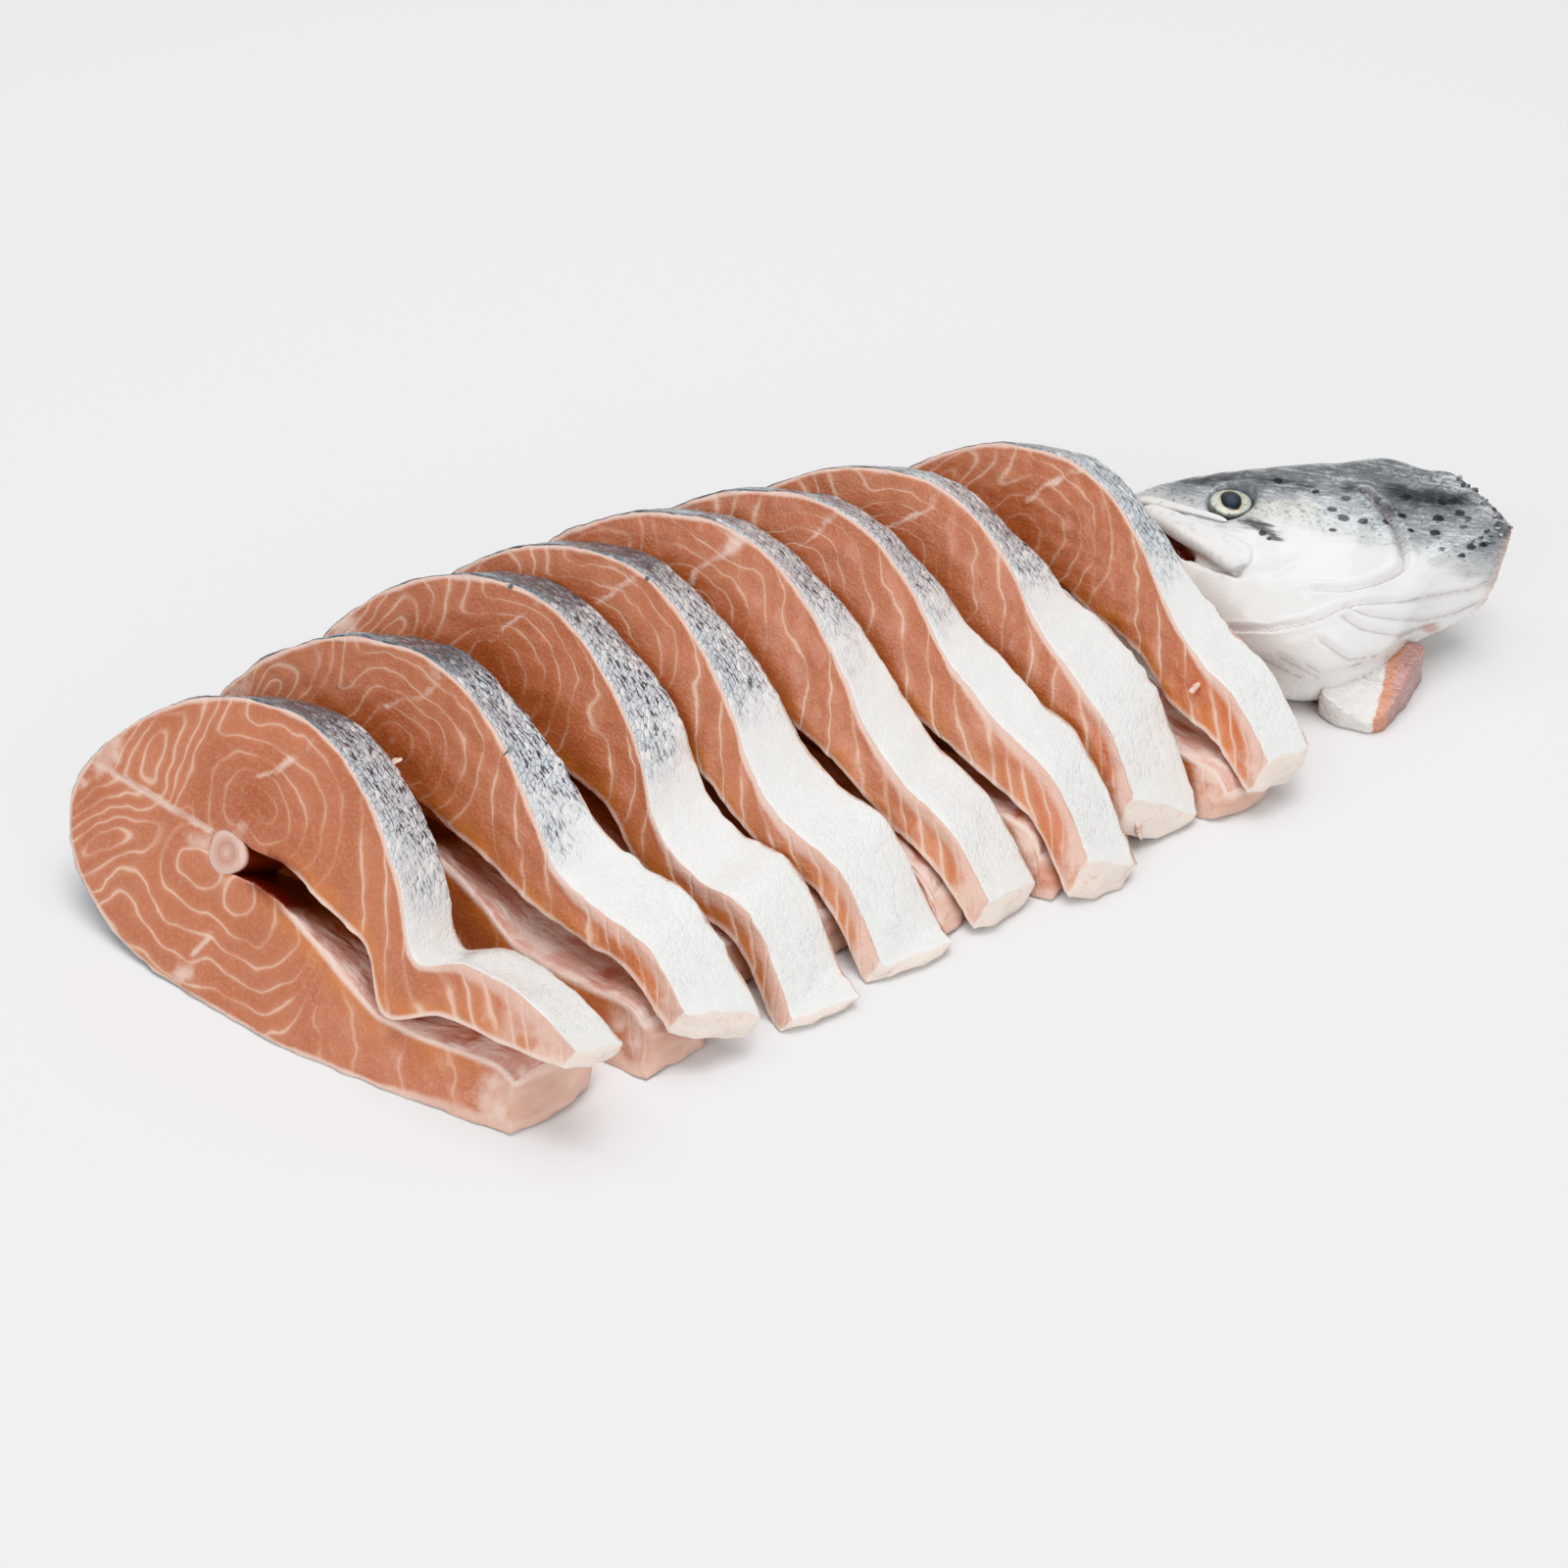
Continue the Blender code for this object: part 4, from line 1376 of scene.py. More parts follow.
@dataclass(frozen=True)
class EyeFinish:
    """A fresh fish eye: tall dark pupil, thin gold line, pale silvery iris, dark outer ring."""

    pupil: Colour = (0.010, 0.013, 0.020)
    haze: Colour = (0.055, 0.075, 0.10)
    gold: Colour = (0.50, 0.43, 0.27)
    iris: Colour = (0.60, 0.62, 0.55)
    shade: Colour = (0.34, 0.34, 0.29)
    ring: Colour = (0.10, 0.105, 0.10)
    pupil_radius: float = 3.3
    pupil_slant: float = 0.22
    pupil_squash: float = 0.70
    iris_radius: float = 5.9

    def make(self) -> bpy.types.Material:
        """Build the material."""
        g = Graph("fresh fish eye")
        place = g.drift(g.place("face_place"), 2.0, 0.25)
        x, y, _ = g.split(place)
        out = g.length(g.math("MULTIPLY_ADD", y, self.pupil_slant, x), g.product(y, self.pupil_squash))
        from_middle = g.length(x, y)
        mottled = g.noise(place, 1.6, 3.0)
        colour = g.blend(g.smooth(mottled, 0.48, 0.70), self.iris, self.shade)
        colour = g.blend(g.smooth(out, self.pupil_radius + 1.0, self.pupil_radius + 0.3), colour, self.gold)
        inside = g.blend(g.smooth(out, 0.0, self.pupil_radius), self.haze, self.pupil)
        colour = g.blend(g.smooth(out, self.pupil_radius + 0.3, self.pupil_radius - 0.1), colour, inside)
        colour = g.blend(g.smooth(from_middle, self.iris_radius, self.iris_radius + 0.9), colour, self.ring)
        return g.shade(colour, 0.12, None, Coat_Weight=1.0, Coat_Roughness=0.03, IOR=1.4)


@dataclass(frozen=True)
class Head:
    """The head on its right side: u from the snout back, v to the top of the head, origin under the left eye.

    Its marks are drawn as they lie when the head is looked at from the row's near side, slid along that line
    of sight onto one level.
    """

    at: Pair = (206.0, -19.5)
    yaw: float = -46.0
    middle: float = 27.0
    roll: float = 0.3
    outline: Line = (
        (-46, 3), (-33, 14), (-16, 21), (8, 26), (33, 31), (50, 36), (61, 34), (75, 26), (87, 15),
        (79, 5), (67, -6), (56, -24), (40, -37), (22, -39), (0, -34), (-22, -25), (-42, -12),
    )
    centre: Pair = (22.0, 2.0)
    half_widths: Line = ((-46, 8), (-25, 15), (0, 21), (20, 25), (42, 27), (60, 25), (87, 20))
    rear_from: float = 56.0
    rear_to: float = 68.0
    rear_wall: float = 17.0
    drawn_level: float = 40.0
    drawn_slide: Pair = (0.149, -1.339)
    mouth: Line = (
        (-34, 0), (-20.6, -8.6), (-13.7, -13.4), (-8.5, -19), (-3.2, -22.3), (1.7, -24.2), (8, -24.5),
    )
    mouth_corner: int = 3
    jaw_bone: Line = ((-28, 0.5), (-19, -4.4), (-11, -9.3), (-3, -13.4), (4, -17.2), (11, -20.8))
    jaw_bone_width: Pair = (2.6, 3.1)
    jaw_bone_rise: float = 2.5
    lip_strip: Line = ((-30, 6), (-20, 1.6), (-12, -1.6), (-5, -4.2), (1, -6.6))
    lip_strip_width: Pair = (2.2, -1.3)
    lip_strip_rise: float = 1.3
    nostril: Pair = (-21.0, 10.0)
    gill_edge: Line = (
        (38.6, 28.5), (45.6, 21.3), (52.3, 10.8), (56.9, -3.4), (57.3, -7.5), (54.7, -12.5), (49.4, -18.8),
        (41.5, -23.8), (32.8, -26.5),
    )
    cheek_edge: Line = ((14, 22), (24, 14), (29, 3), (28, -8), (20, -20), (8, -25))
    folds: tuple[Line, ...] = (
        ((10.9, -54.2), (23.1, -50.5), (34.9, -42.8), (44.6, -31.1), (52, -26.8), (60, -23.9), (70.6, -18.1),
         (81.1, -11.7), (84.5, -6.5)),
        ((44.9, -32.6), (53.3, -34.1), (68.1, -32.7), (77.9, -26.1), (83.9, -18.1)),
        ((43.3, -37.2), (51.3, -41.8), (63.1, -42.3), (73.7, -32)),
        ((39.2, -51.1), (49.6, -58.9), (60.7, -52.5)),
        ((37.6, -65), (43, -68.3), (60.9, -53.9)),
        ((29, -63.7), (43.6, -71.5)),
        ((23.1, -65.5), (35, -71.7), (43.4, -74)),
    )
    spots: tuple[Point, ...] = (
        (33.6, 23.1, 1.7), (30.5, 16.1, 1.5), (34.8, 13, 1.9), (40.8, 12.7, 1.6), (32.7, 5.8, 1.2),
        (48.4, 13.9, 1.8), (51.9, 18.8, 1.6), (63.1, 21.1, 1.9), (63.3, 13.6, 1.7), (71.4, 19.3, 1.5),
        (75.4, 9.7, 1.7), (62.9, 29.9, 1.6), (69.1, 26.2, 1.7), (72, 23.8, 1.4), (73.4, 4.3, 1.3),
        (11.5, 26.4, 1.5), (12, -2.1, 1.4), (14.7, -4.5, 1.0), (66.9, 32.2, 2.0), (51.5, 29, 1.8),
        (24, 24, 1.3), (43, 25, 1.2), (56, 12, 1.2), (79, 12, 1.5), (67, 6, 1.2),
    )
    grey_border: Line = (
        (-30, 9), (-12, 5), (0, 1.5), (8, 5), (14, 9), (30, 9), (50, 6), (75, 1), (90, -4),
    )
    dark_patches: tuple[tuple[float, Line], ...] = (
        (0.0, ((48, 31.5), (55, 30), (62, 31), (69, 32.5))),
        (2.6, ((7, 2.5), (12, 0), (17, -4))),
        (3.2, ((-24, 16), (-11, 20), (1, 25), (10, 26.5), (22, 26.5))),
        (3.0, ((33, 29), (41, 26), (48, 19))),
    )
    socket_floor: float = 44.0
    socket_radius: float = 7.4
    socket_slope: float = 1.5
    spokes: int = 280
    rings: int = 80
    wall_rings: int = 22
    under_rings: int = 20
    wall_recess: float = 0.07
    lip: float = 4.0
    collar_outline: Line = (
        (38, -30), (60, -7), (68, -10), (65, -26), (61, -38.5), (56, -42), (47, -41.5), (40, -38),
    )
    collar_tip: Pair = (57.0, -42.0)
    collar_thin: float = 4.5
    collar_more: float = 8.5
    collar_slope: float = 22.0
    pupil_low: float = 0.3
    eye_at: Pair = (0.3, 2.2)
    eye_share: float = 0.92
    light_patch: Line = ((9, 9), (21, 14))
    tear: Pair = (71.5, -35.8)
    fringe_corner: Pair = (68.0, 2.0)
    loose_scales: int = 46
    scale_corners: int = 9

    def place(self, u: np.ndarray, v: np.ndarray, z: np.ndarray) -> np.ndarray:
        """Turn the head's own coordinates into points of the row."""
        yaw = math.radians(self.yaw)
        x = self.at[0] + u * math.cos(yaw) - v * math.sin(yaw)
        y = self.at[1] + u * math.sin(yaw) + v * math.cos(yaw)
        return np.stack([x, y, z + 0 * x], axis=-1)

    def drawn(self, u: np.ndarray, v: np.ndarray, z: np.ndarray) -> np.ndarray:
        """Slide points along the line of sight onto the level that the marks are drawn on."""
        down = self.drawn_level - z
        return np.stack([u + self.drawn_slide[0] * down, v + self.drawn_slide[1] * down], axis=-1)

    def edge(self) -> tuple[np.ndarray, np.ndarray]:
        """Outline of the head as angles round its centre, in order, and points."""
        edge = smooth_curve(np.array(self.outline, float), 16, closed=True)
        angles = np.arctan2(edge[:, 1] - self.centre[1], edge[:, 0] - self.centre[0])
        order = np.argsort(angles)
        return angles[order], edge[order]

    def half(self, u: np.ndarray) -> np.ndarray:
        """Half the head's thickness at its middle line."""
        widths = np.array(self.half_widths, float)
        return np.interp(u, widths[:, 0], widths[:, 1])

    def top(self, u: np.ndarray, v: np.ndarray) -> np.ndarray:
        """Height of the smooth side of the head, without its relief."""
        angles, edge = self.edge()
        du, dv = u - self.centre[0], v - self.centre[1]
        turn = np.arctan2(dv, du)
        edge_u = np.interp(turn, angles, edge[:, 0], period=2 * math.pi)
        edge_v = np.interp(turn, angles, edge[:, 1], period=2 * math.pi)
        out = np.hypot(edge_u - self.centre[0], edge_v - self.centre[1])
        reach = np.clip(np.hypot(du, dv) / out, 0, 0.999)
        return self.middle + self.roll * v + self.half(u) * (1 - reach**2) ** 0.375

    def relief(self, drawn: np.ndarray) -> np.ndarray:
        """Height that the mouth, the gill cover and the folds add to the side of the head.

        Args:
            drawn: Points on the level that the marks are drawn on.

        Returns:
            The height at each point.
        """
        mouth = line_distance(drawn, self.mouth[: self.mouth_corner + 1])
        gill = line_distance(drawn, self.gill_edge)
        cheek = line_distance(drawn, self.cheek_edge)
        closed = line_distance(drawn, self.mouth[self.mouth_corner :])
        out = -4.2 * np.exp(-((mouth / 2.4) ** 2)) - 1.5 * np.exp(-((closed / 1.2) ** 2))
        out += -1.9 * np.exp(-((gill / 1.1) ** 2)) + 0.9 * np.exp(-(((gill - 2.6) / 2.0) ** 2))
        out += -0.7 * np.exp(-((cheek / 2.2) ** 2))
        for k, fold in enumerate(self.folds):
            away = line_distance(drawn, fold)
            deep = 1.3 if k == 0 else 0.9
            out += -deep * np.exp(-((away / 1.2) ** 2)) + 0.5 * deep * np.exp(-(((away - 2.6) / 1.7) ** 2))
        from_nostril = np.hypot(drawn[:, 0] - self.nostril[0], drawn[:, 1] - self.nostril[1])
        out += -1.4 * np.exp(-((from_nostril / 1.3) ** 2))
        return out

    def skull(self) -> Shape:
        """Build the head: a pillow round its outline, with relief, a rear wall and a socket for the eye."""
        angles, edge = self.edge()
        turns = -math.pi + 2 * math.pi * (np.arange(self.spokes) + 0.5) / self.spokes
        edge_u = np.interp(turns, angles, edge[:, 0], period=2 * math.pi)
        edge_v = np.interp(turns, angles, edge[:, 1], period=2 * math.pi)
        ruffle, ragged = Ruffle(301, 9.0), Ruffle(302, 6.0)
        rear = ramp(edge_u, self.rear_from, self.rear_to)
        rear = rear * rear * (3 - 2 * rear)
        quarter = 0.5 * math.pi
        over = [quarter * k / self.rings for k in range(1, self.rings + 1)]
        under = [quarter * k / self.under_rings for k in range(self.under_rings, 0, -1)]
        rows = [(math.sin(angle), math.cos(angle), 1.0) for angle in over]
        rows += [(1.0, 0.0, side) for side in np.linspace(1, -1, self.wall_rings)[1:-1]]
        rows += [(math.sin(angle), math.cos(angle), -1.0) for angle in under]
        points, place = [], []
        for reach, rise, side in rows:
            rise = max(rise, 0.0) ** 0.75
            recess = self.wall_recess * rear * ((1 - side) / 2) ** 1.5 * ramp(reach, 0.8, 1.0)
            u = self.centre[0] + (reach - recess) * (edge_u - self.centre[0])
            v = self.centre[1] + (reach - recess) * (edge_v - self.centre[1])
            pillow = self.half(u) * rise
            wall = self.rear_wall - self.lip * float(ramp(reach, 0.92, 1.0)) ** 2.2
            level = 0.5 * (pillow + wall + np.sqrt((pillow - wall) ** 2 + 2.5))
            height = pillow * (1 - rear) + rear * level + 0.2
            z = self.middle + self.roll * v + side * height
            drawn = self.drawn(u, v, z)
            if side > -1:
                lift = self.relief(drawn) + 0.12 * ruffle.at(np.stack([u, v, z], axis=-1))
                fade = min(1.0, 3 * rise) * (1 - rear) + rear
                on_wall = rear * float(ramp(reach, 0.95, 1.0))
                z = z + lift * fade * (1 - on_wall)
                out = np.hypot(edge_u - self.centre[0], edge_v - self.centre[1])
                push = lift * on_wall * 0.8 / out
                u, v = u + push * (edge_u - self.centre[0]), v + push * (edge_v - self.centre[1])
                from_eye = np.hypot(u - self.eye_at[0], v - self.eye_at[1])
                rim = self.socket_radius + self.socket_slope
                socket = ramp(from_eye / self.eye_share, rim, self.socket_radius)
                z = z * (1 - socket) + np.minimum(z, self.socket_floor) * socket
            points.append(self.place(u, v, np.maximum(z, 0.0)))
            cut = rear * ramp(edge_v, 9, 16) * ramp(reach, 0.985, 1.0)
            torn = rear * ramp(z + 1.5 * ragged.at(np.stack([u, v, z], axis=-1)), 9.0, 6.5)
            place.append(np.stack([u, v, z, drawn[:, 0], drawn[:, 1], np.maximum(cut, torn)], axis=-1))
        for side in (1, -1):
            u, v = np.array([self.centre[0]]), np.array([self.centre[1]])
            z = np.maximum(self.middle + self.roll * v + side * self.half(u), 0.0)
            points.append(self.place(u, v, z))
            place.append(np.column_stack([u, v, z, self.drawn(u, v, z), 0 * u]))
        faces = ring_faces(len(rows), self.spokes) + end_fans(len(rows), self.spokes)
        return Shape(np.vstack(points), faces, self.marks(np.vstack(place)))

    def marks(self, place: np.ndarray) -> dict[str, np.ndarray]:
        """Say how dark the skin is and how far each mark is.

        Args:
            place: Rows of u, v, height, both drawn coordinates and the share of raw flesh.

        Returns:
            The values that the skin's finish reads.
        """
        drawn = place[:, 3:5]
        border = np.array(self.grey_border, float)
        tone = drawn[:, 1] - np.interp(drawn[:, 0], border[:, 0], border[:, 1])
        from_eye = np.hypot(place[:, 0] - self.eye_at[0], place[:, 1] - self.eye_at[1]) / self.eye_share
        spots = [np.hypot(drawn[:, 0] - u, drawn[:, 1] - v) - radius for u, v, radius in self.spots]
        from_mouth = line_distance(drawn, self.mouth[1 : self.mouth_corner + 1])
        creases = (*self.folds, self.gill_edge, self.mouth[self.mouth_corner :])
        from_fold = np.min([line_distance(drawn, crease) for crease in creases], axis=0)
        patches = [line_distance(drawn, patch) + less for less, patch in self.dark_patches]
        from_light = line_distance(drawn, self.light_patch)
        from_tear = np.hypot(*(drawn - np.array(self.tear)).T)
        return {
            "face_place": np.column_stack([drawn, 0.5 * place[:, 2]]),
            "face_dark": np.column_stack([np.min(patches, axis=0), from_light, from_tear]),
            "face_tone": np.column_stack([tone, place[:, 5], from_eye]),
            "face_marks": np.column_stack([np.min(spots, axis=0), from_mouth, from_fold]),
        }

    def jaw_bar(self, route: Line, size: Pair, rise: float, spokes: int = 24) -> Shape:
        """Build one white strip of the upper jaw: a flat rounded bar that lies on the side of the head.

        Args:
            route: Places that its middle line passes.
            size: Half its width in front and how much that grows to the rear.
            rise: How far it stands proud.
            spokes: How many points lie round it.

        Returns:
            The bar.
        """
        line = smooth_curve(np.array(route, float), 8)
        run = run_length(line) / run_length(line)[-1]
        heading = np.gradient(line, axis=0)
        heading /= np.linalg.norm(heading, axis=1, keepdims=True)
        normal = np.stack([-heading[:, 1], heading[:, 0]], axis=-1)
        blunt = np.sqrt(np.clip(1 - ramp(run, 0.84, 1.0) ** 2.2, 0.03, 1))
        width = (size[0] + size[1] * run**0.8) * blunt * np.sqrt(np.clip(ramp(run, -0.02, 0.1), 0.05, 1))
        turns = 2 * math.pi * np.arange(spokes) / spokes
        lie = self.top(line[:, 0], line[:, 1]) + 0.4 * rise
        points, place = [], []
        for (u, v), across, wide, z in zip(line, normal, width, lie):
            aside = np.cos(turns)
            uu, vv = u + across[0] * wide * aside, v + across[1] * wide * aside
            follow = 0.6 * (self.top(uu, vv) - self.top(np.array([u]), np.array([v])))
            groove = -0.7 * np.exp(-(((aside - 0.35) / 0.16) ** 2)) * (np.sin(turns) > 0)
            zz = z + follow + (rise * np.sin(turns) + groove) * min(1.0, wide / size[0])
            points.append(self.place(uu, vv, zz))
            place.append(np.stack([uu, vv, np.abs(aside)], axis=-1))
        return tube(points, place, "face_place")

    def collar(self) -> Shape:
        """Build the torn wedge of collar that hangs from the throat onto the table, thin at its tip."""
        corners = np.array(self.collar_outline, float)
        along = np.linspace(0, 1, 14)[:-1, None]
        edge = np.vstack([a + (b - a) * along for a, b in zip(corners, np.roll(corners, -1, 0))])
        edge = 0.5 * edge + 0.25 * (np.roll(edge, 1, 0) + np.roll(edge, -1, 0))
        centre = edge.mean(axis=0)
        ruffle, fine = Ruffle(401, 9.0), Ruffle(402, 3.5)
        profile = (
            (0.02, 0.0), (0.93, 0.0), (0.99, 0.05), (1.0, 0.25), (1.0, 0.6), (1.0, 0.85),
            (0.985, 0.96), (0.95, 1.0), (0.86, 1.02), (0.6, 1.04), (0.3, 1.06), (0.02, 1.06),
        )
        points, place = [], []
        for reach, share in profile:
            ring = centre + reach * (edge - centre)
            from_tip = np.hypot(ring[:, 0] - self.collar_tip[0], ring[:, 1] - self.collar_tip[1])
            z = share * (self.collar_thin + self.collar_more * ramp(from_tip, 0, self.collar_slope))
            probe = np.column_stack([ring, z])
            ring = ring + (ring - centre) * 0.03 * ruffle.at(probe)[:, None] * (reach > 0.8)
            z = z + (0.6 * ruffle.at(probe) + 0.25 * fine.at(probe)) * (share > 0.2)
            points.append(self.place(ring[:, 0], ring[:, 1], np.maximum(z, 0)))
            place.append(np.column_stack([ring, z]))
        return tube(points, place, "face_place")

    def fringe(self) -> Shape:
        """Build the ragged edge of loose dark scales behind and above the fringe's corner."""
        draw = np.random.default_rng(61)
        _, edge = self.edge()
        run = edge[(edge > self.fringe_corner).all(axis=1)]
        points, faces, place = [], [], []
        corners = self.scale_corners
        turns = 2 * math.pi * np.arange(corners) / corners
        for k in range(self.loose_scales):
            spot = run[int(draw.uniform(0, len(run)))]
            inwards = np.array(self.centre) - spot
            out = np.linalg.norm(inwards)
            inwards = inwards / out
            back = draw.uniform(0.0, 5.0)
            spot = spot + inwards * back
            lip = self.lip * float(ramp(1 - back / out, 0.92, 1.0)) ** 2.2
            z = self.middle + self.roll * spot[1] + self.rear_wall - lip + draw.uniform(-0.3, 0.5)
            size, tilt, spin = draw.uniform(0.7, 1.35), draw.uniform(-0.3, 0.6), draw.uniform(0, math.pi)
            for lift in (0.0, 0.2):
                aside, ahead = size * np.cos(turns), 0.7 * size * np.sin(turns)
                du = aside * math.cos(spin) - ahead * math.sin(spin)
                dv = aside * math.sin(spin) + ahead * math.cos(spin)
                away = -(du * inwards[0] + dv * inwards[1])
                points.append(self.place(spot[0] + du, spot[1] + dv, z + lift + away * tilt))
                place.append(np.column_stack([np.ones(corners), np.full(corners, draw.uniform()), 0 * turns]))
            low = 2 * corners * k
            faces += [list(range(low, low + corners)), list(range(low + corners, low + 2 * corners))]
            for i in range(corners):
                after = (i + 1) % corners
                faces.append([low + i, low + after, low + corners + after, low + corners + i])
        return Shape(np.vstack(points), faces, {"scale_place": np.vstack(place)})

    def eyeball(self, spokes: int = 48) -> Shape:
        """Build the eye: a low clear dome with a raised middle."""
        turns = 2 * math.pi * np.arange(spokes) / spokes
        profile = (
            (7.6, 44.6), (7.6, 46.0), (7.3, 46.6), (6.5, 47.0), (5.2, 47.3), (4.0, 47.6), (2.6, 47.8),
            (1.2, 47.9), (0.02, 47.95),
        )
        points, place = [], []
        for radius, z in profile:
            u, v = self.eye_share * radius * np.cos(turns), self.eye_share * radius * np.sin(turns)
            points.append(self.place(self.eye_at[0] + u, self.eye_at[1] + v, np.full(spokes, z)))
            place.append(np.stack([u, v + self.pupil_low, 0 * u], axis=-1))
        return tube(points, place, "face_place")

    def build(self) -> None:
        """Build, dress and register the head's pieces."""
        skin = HeadSkinFinish().make()
        register(self.skull().make("head_skull_and_skin", [skin]), Slot.SKIN, "head")
        white = [JawBoneFinish().make()]
        bar = self.jaw_bar(self.jaw_bone, self.jaw_bone_width, self.jaw_bone_rise)
        register(bar.make("head_upper_jaw_bone", white), Slot.SKIN, "head")
        strip = self.jaw_bar(self.lip_strip, self.lip_strip_width, self.lip_strip_rise)
        register(strip.make("head_upper_lip_strip", white), Slot.SKIN, "head")
        register(self.collar().make("head_torn_collar", [CollarFinish().make()]), Slot.SKIN, "head")
        register(self.fringe().make("head_loose_scales", [FringeFinish().make()]), Slot.SKIN, "head")
        register(self.eyeball().make("head_left_eye", [EyeFinish().make()]), Slot.EYE, "eye")


class Stuff(Enum):
    """What a small loose bit is made of: the name, the darker and the lighter colour of its finish."""

    FAT = ("loose fat", (0.62, 0.40, 0.32), (0.82, 0.68, 0.60))
    SKIN = ("loose dark skin", (0.05, 0.055, 0.06), (0.3, 0.31, 0.32))

    def finish(self) -> bpy.types.Material:
        """Build the material."""
        name, dark, light = self.value
        g = Graph(name)
        cloudy = g.noise(g.place("crumb_place"), 1.3, 2.0)
        colour = g.blend(g.smooth(cloudy, 0.35, 0.65), dark, light)
        return g.shade(colour, 0.25, None, **g.wet(1.0, 0.0))


@dataclass(frozen=True)
class Crumb:
    """A small loose bit that clings to a steak: its place in the row, half sizes, and yaw and pitch."""

    name: str
    steak: int
    stuff: Stuff
    at: Point
    size: Point
    heading: Pair
    taper: float = 0.3
    spokes: int = 14
    rings: int = 13

    def shape(self) -> Shape:
        """Build the bit as an uneven lump that tapers along its heading."""
        yaw, pitch = (math.radians(angle) for angle in self.heading)
        ahead = np.array((math.cos(pitch) * math.cos(yaw), math.cos(pitch) * math.sin(yaw), math.sin(pitch)))
        aside = np.array((-math.sin(yaw), math.cos(yaw), 0.0))
        upwards = np.cross(ahead, aside)
        ruffle = Ruffle(sum(self.name.encode()), 1.6 * max(self.size))
        turns = 2 * math.pi * np.arange(self.spokes) / self.spokes
        points, place = [], []
        for angle in np.linspace(0.05, math.pi - 0.05, self.rings):
            along, out = -math.cos(angle), math.sin(angle) * (1 + self.taper * math.cos(angle))
            local = np.stack([0 * turns + along, out * np.cos(turns), out * np.sin(turns)], axis=-1)
            local *= self.size
            local[:, 1:] *= 1 + 0.22 * ruffle.at(local)[:, None]
            points.append(np.array(self.at) + local @ np.stack([ahead, aside, upwards]))
            place.append(local)
        return tube(points, place, "crumb_place")

    def build(self, finish: bpy.types.Material) -> None:
        """Build and register the bit."""
        register(self.shape().make(self.name, [finish]), Slot.FLESH, f"steak_{self.steak}")


CRUMBS = (
    Crumb("steak_7_hanging_fat", 7, Stuff.FAT, (123.2, -99.1, 6.6), (3.6, 1.5, 0.8), (-60, -72), 0.75),
    Crumb("steak_8_loose_fat", 8, Stuff.FAT, (158.3, -74.0, 30.8), (3.1, 0.9, 0.8), (20, 10), 0.6),
    Crumb("steak_8_fat_thread", 8, Stuff.FAT, (161.0, -72.2, 32.2), (2.8, 0.6, 0.6), (75, 30), 0.6),
    Crumb("steak_1_lifted_scale", 1, Stuff.FAT, (-79.0, -18.6, 57.6), (1.7, 1.2, 0.25), (-20, 15)),
    Crumb("steak_2_skin_nick", 2, Stuff.SKIN, (-51.7, -35.3, 62.4), (2.1, 0.6, 0.4), (15, 20), 0.6),
    Crumb("steak_3_skin_nick_a", 3, Stuff.SKIN, (-25.0, 15.4, 77.3), (1.8, 0.6, 0.4), (5, 0), 0.6),
    Crumb("steak_3_skin_nick_b", 3, Stuff.SKIN, (-16.2, -5.8, 73.7), (1.6, 0.6, 0.4), (-30, 10), 0.6),
    Crumb("steak_4_skin_nick", 4, Stuff.SKIN, (12.2, 1.1, 76.0), (1.6, 0.6, 0.4), (10, 0), 0.6),
)


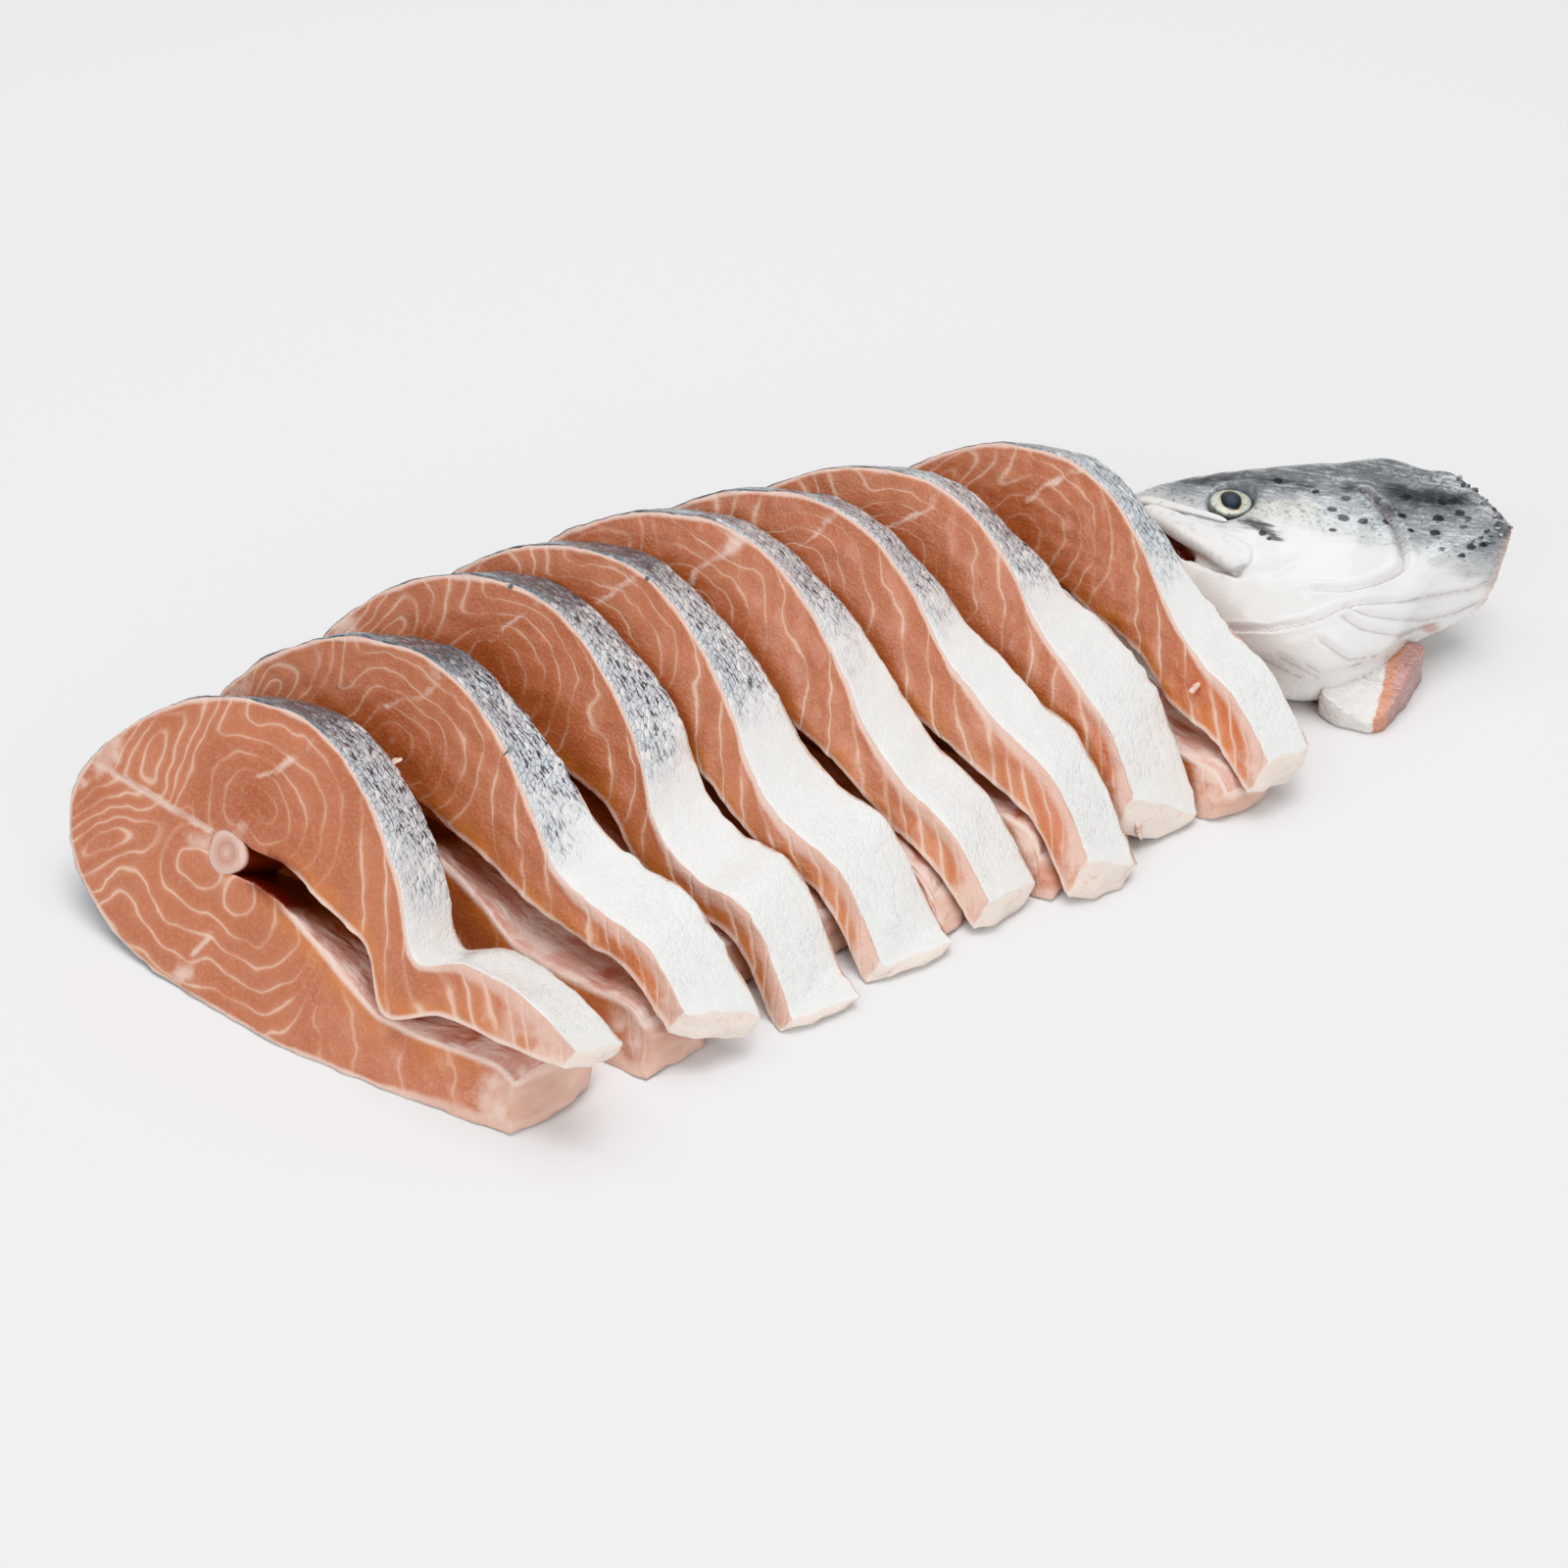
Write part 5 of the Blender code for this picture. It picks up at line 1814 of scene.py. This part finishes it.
@dataclass(frozen=True)
class Studio:
    """Plain pale floor, soft lights and the camera at the photograph's angle."""

    camera_at: Point = (-0.41785, -0.72163, 0.713)
    camera_tilt: float = 49.5
    camera_turn: float = -29.0
    lens: float = 82.35
    sensor: float = 36.0
    floor_half: float = 3.0
    floor_drop: float = 0.0002
    sky: float = 0.45

    def floor(self) -> None:
        """Lay the floor."""
        half = self.floor_half
        mesh = bpy.data.meshes.new("floor")
        corners = [(-half, -half, 0), (half, -half, 0), (half, half, 0), (-half, half, 0)]
        mesh.from_pydata(corners, [], [(0, 1, 2, 3)])
        g = Graph("pale floor")
        tone = g.noise(g.add("TexCoord").outputs["Object"], 0.9, 2.0)
        colour = g.blend(tone, (0.80, 0.80, 0.80), (0.83, 0.83, 0.83))
        mesh.materials.append(g.shade(colour, 0.7, None))
        plane = bpy.data.objects.new("floor", mesh)
        plane.location.z = -self.floor_drop
        bpy.context.scene.collection.objects.link(plane)

    @staticmethod
    def light(name: str, at: Point, size: float, power: float) -> None:
        """Hang a square soft light that faces the fish.

        Args:
            name: Its name.
            at: Where it hangs, in metres.
            size: Its side in metres.
            power: Its power in watts.
        """
        lamp = bpy.data.lights.new(name, "AREA")
        lamp.size = size
        lamp.energy = power
        hung = bpy.data.objects.new(name, lamp)
        hung.location = at
        aim = hung.location.copy()
        aim.negate()
        hung.rotation_euler = aim.to_track_quat("-Z", "Y").to_euler()
        bpy.context.scene.collection.objects.link(hung)

    def build(self) -> None:
        """Set the floor, the lights, the world and the camera."""
        scene = bpy.context.scene
        self.floor()
        self.light("overhead softbox", (0.15, 0.1, 1.5), 1.2, 16.0)
        self.light("left softbox", (-1.4, -0.7, 0.9), 1.0, 9.0)
        self.light("front fill", (0.2, -1.6, 0.8), 1.2, 6.5)
        self.light("glint lamp", (-0.55, 0.75, 1.25), 0.22, 1.6)
        scene.view_settings.view_transform = "Khronos PBR Neutral"
        world = bpy.data.worlds.new("soft studio")
        world.use_nodes = True
        light = world.node_tree.nodes["Background"].inputs
        light["Color"].default_value = (1.0, 1.0, 1.0, 1.0)
        light["Strength"].default_value = self.sky
        scene.world = world
        lens = bpy.data.cameras.new("camera")
        lens.lens = self.lens
        lens.sensor_width = self.sensor
        lens.dof.use_dof = False
        eye = bpy.data.objects.new("camera", lens)
        eye.location = self.camera_at
        eye.rotation_euler = (math.radians(self.camera_tilt), 0.0, math.radians(self.camera_turn))
        scene.collection.objects.link(eye)
        scene.camera = eye


def main() -> None:
    """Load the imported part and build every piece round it."""
    logging.basicConfig(level=logging.INFO, format="%(name)s: %(message)s")
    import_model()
    finishes = [FleshFinish().make(), SkinFinish().make(), LiningFinish().make()]
    bone = BoneFinish().make()
    for steak in STEAKS:
        steak.build(finishes, bone)
    Head().build()
    loose = {stuff: stuff.finish() for stuff in Stuff}
    for crumb in CRUMBS:
        crumb.build(loose[crumb.stuff])
    Studio().build()


if __name__ == "__main__":
    main()
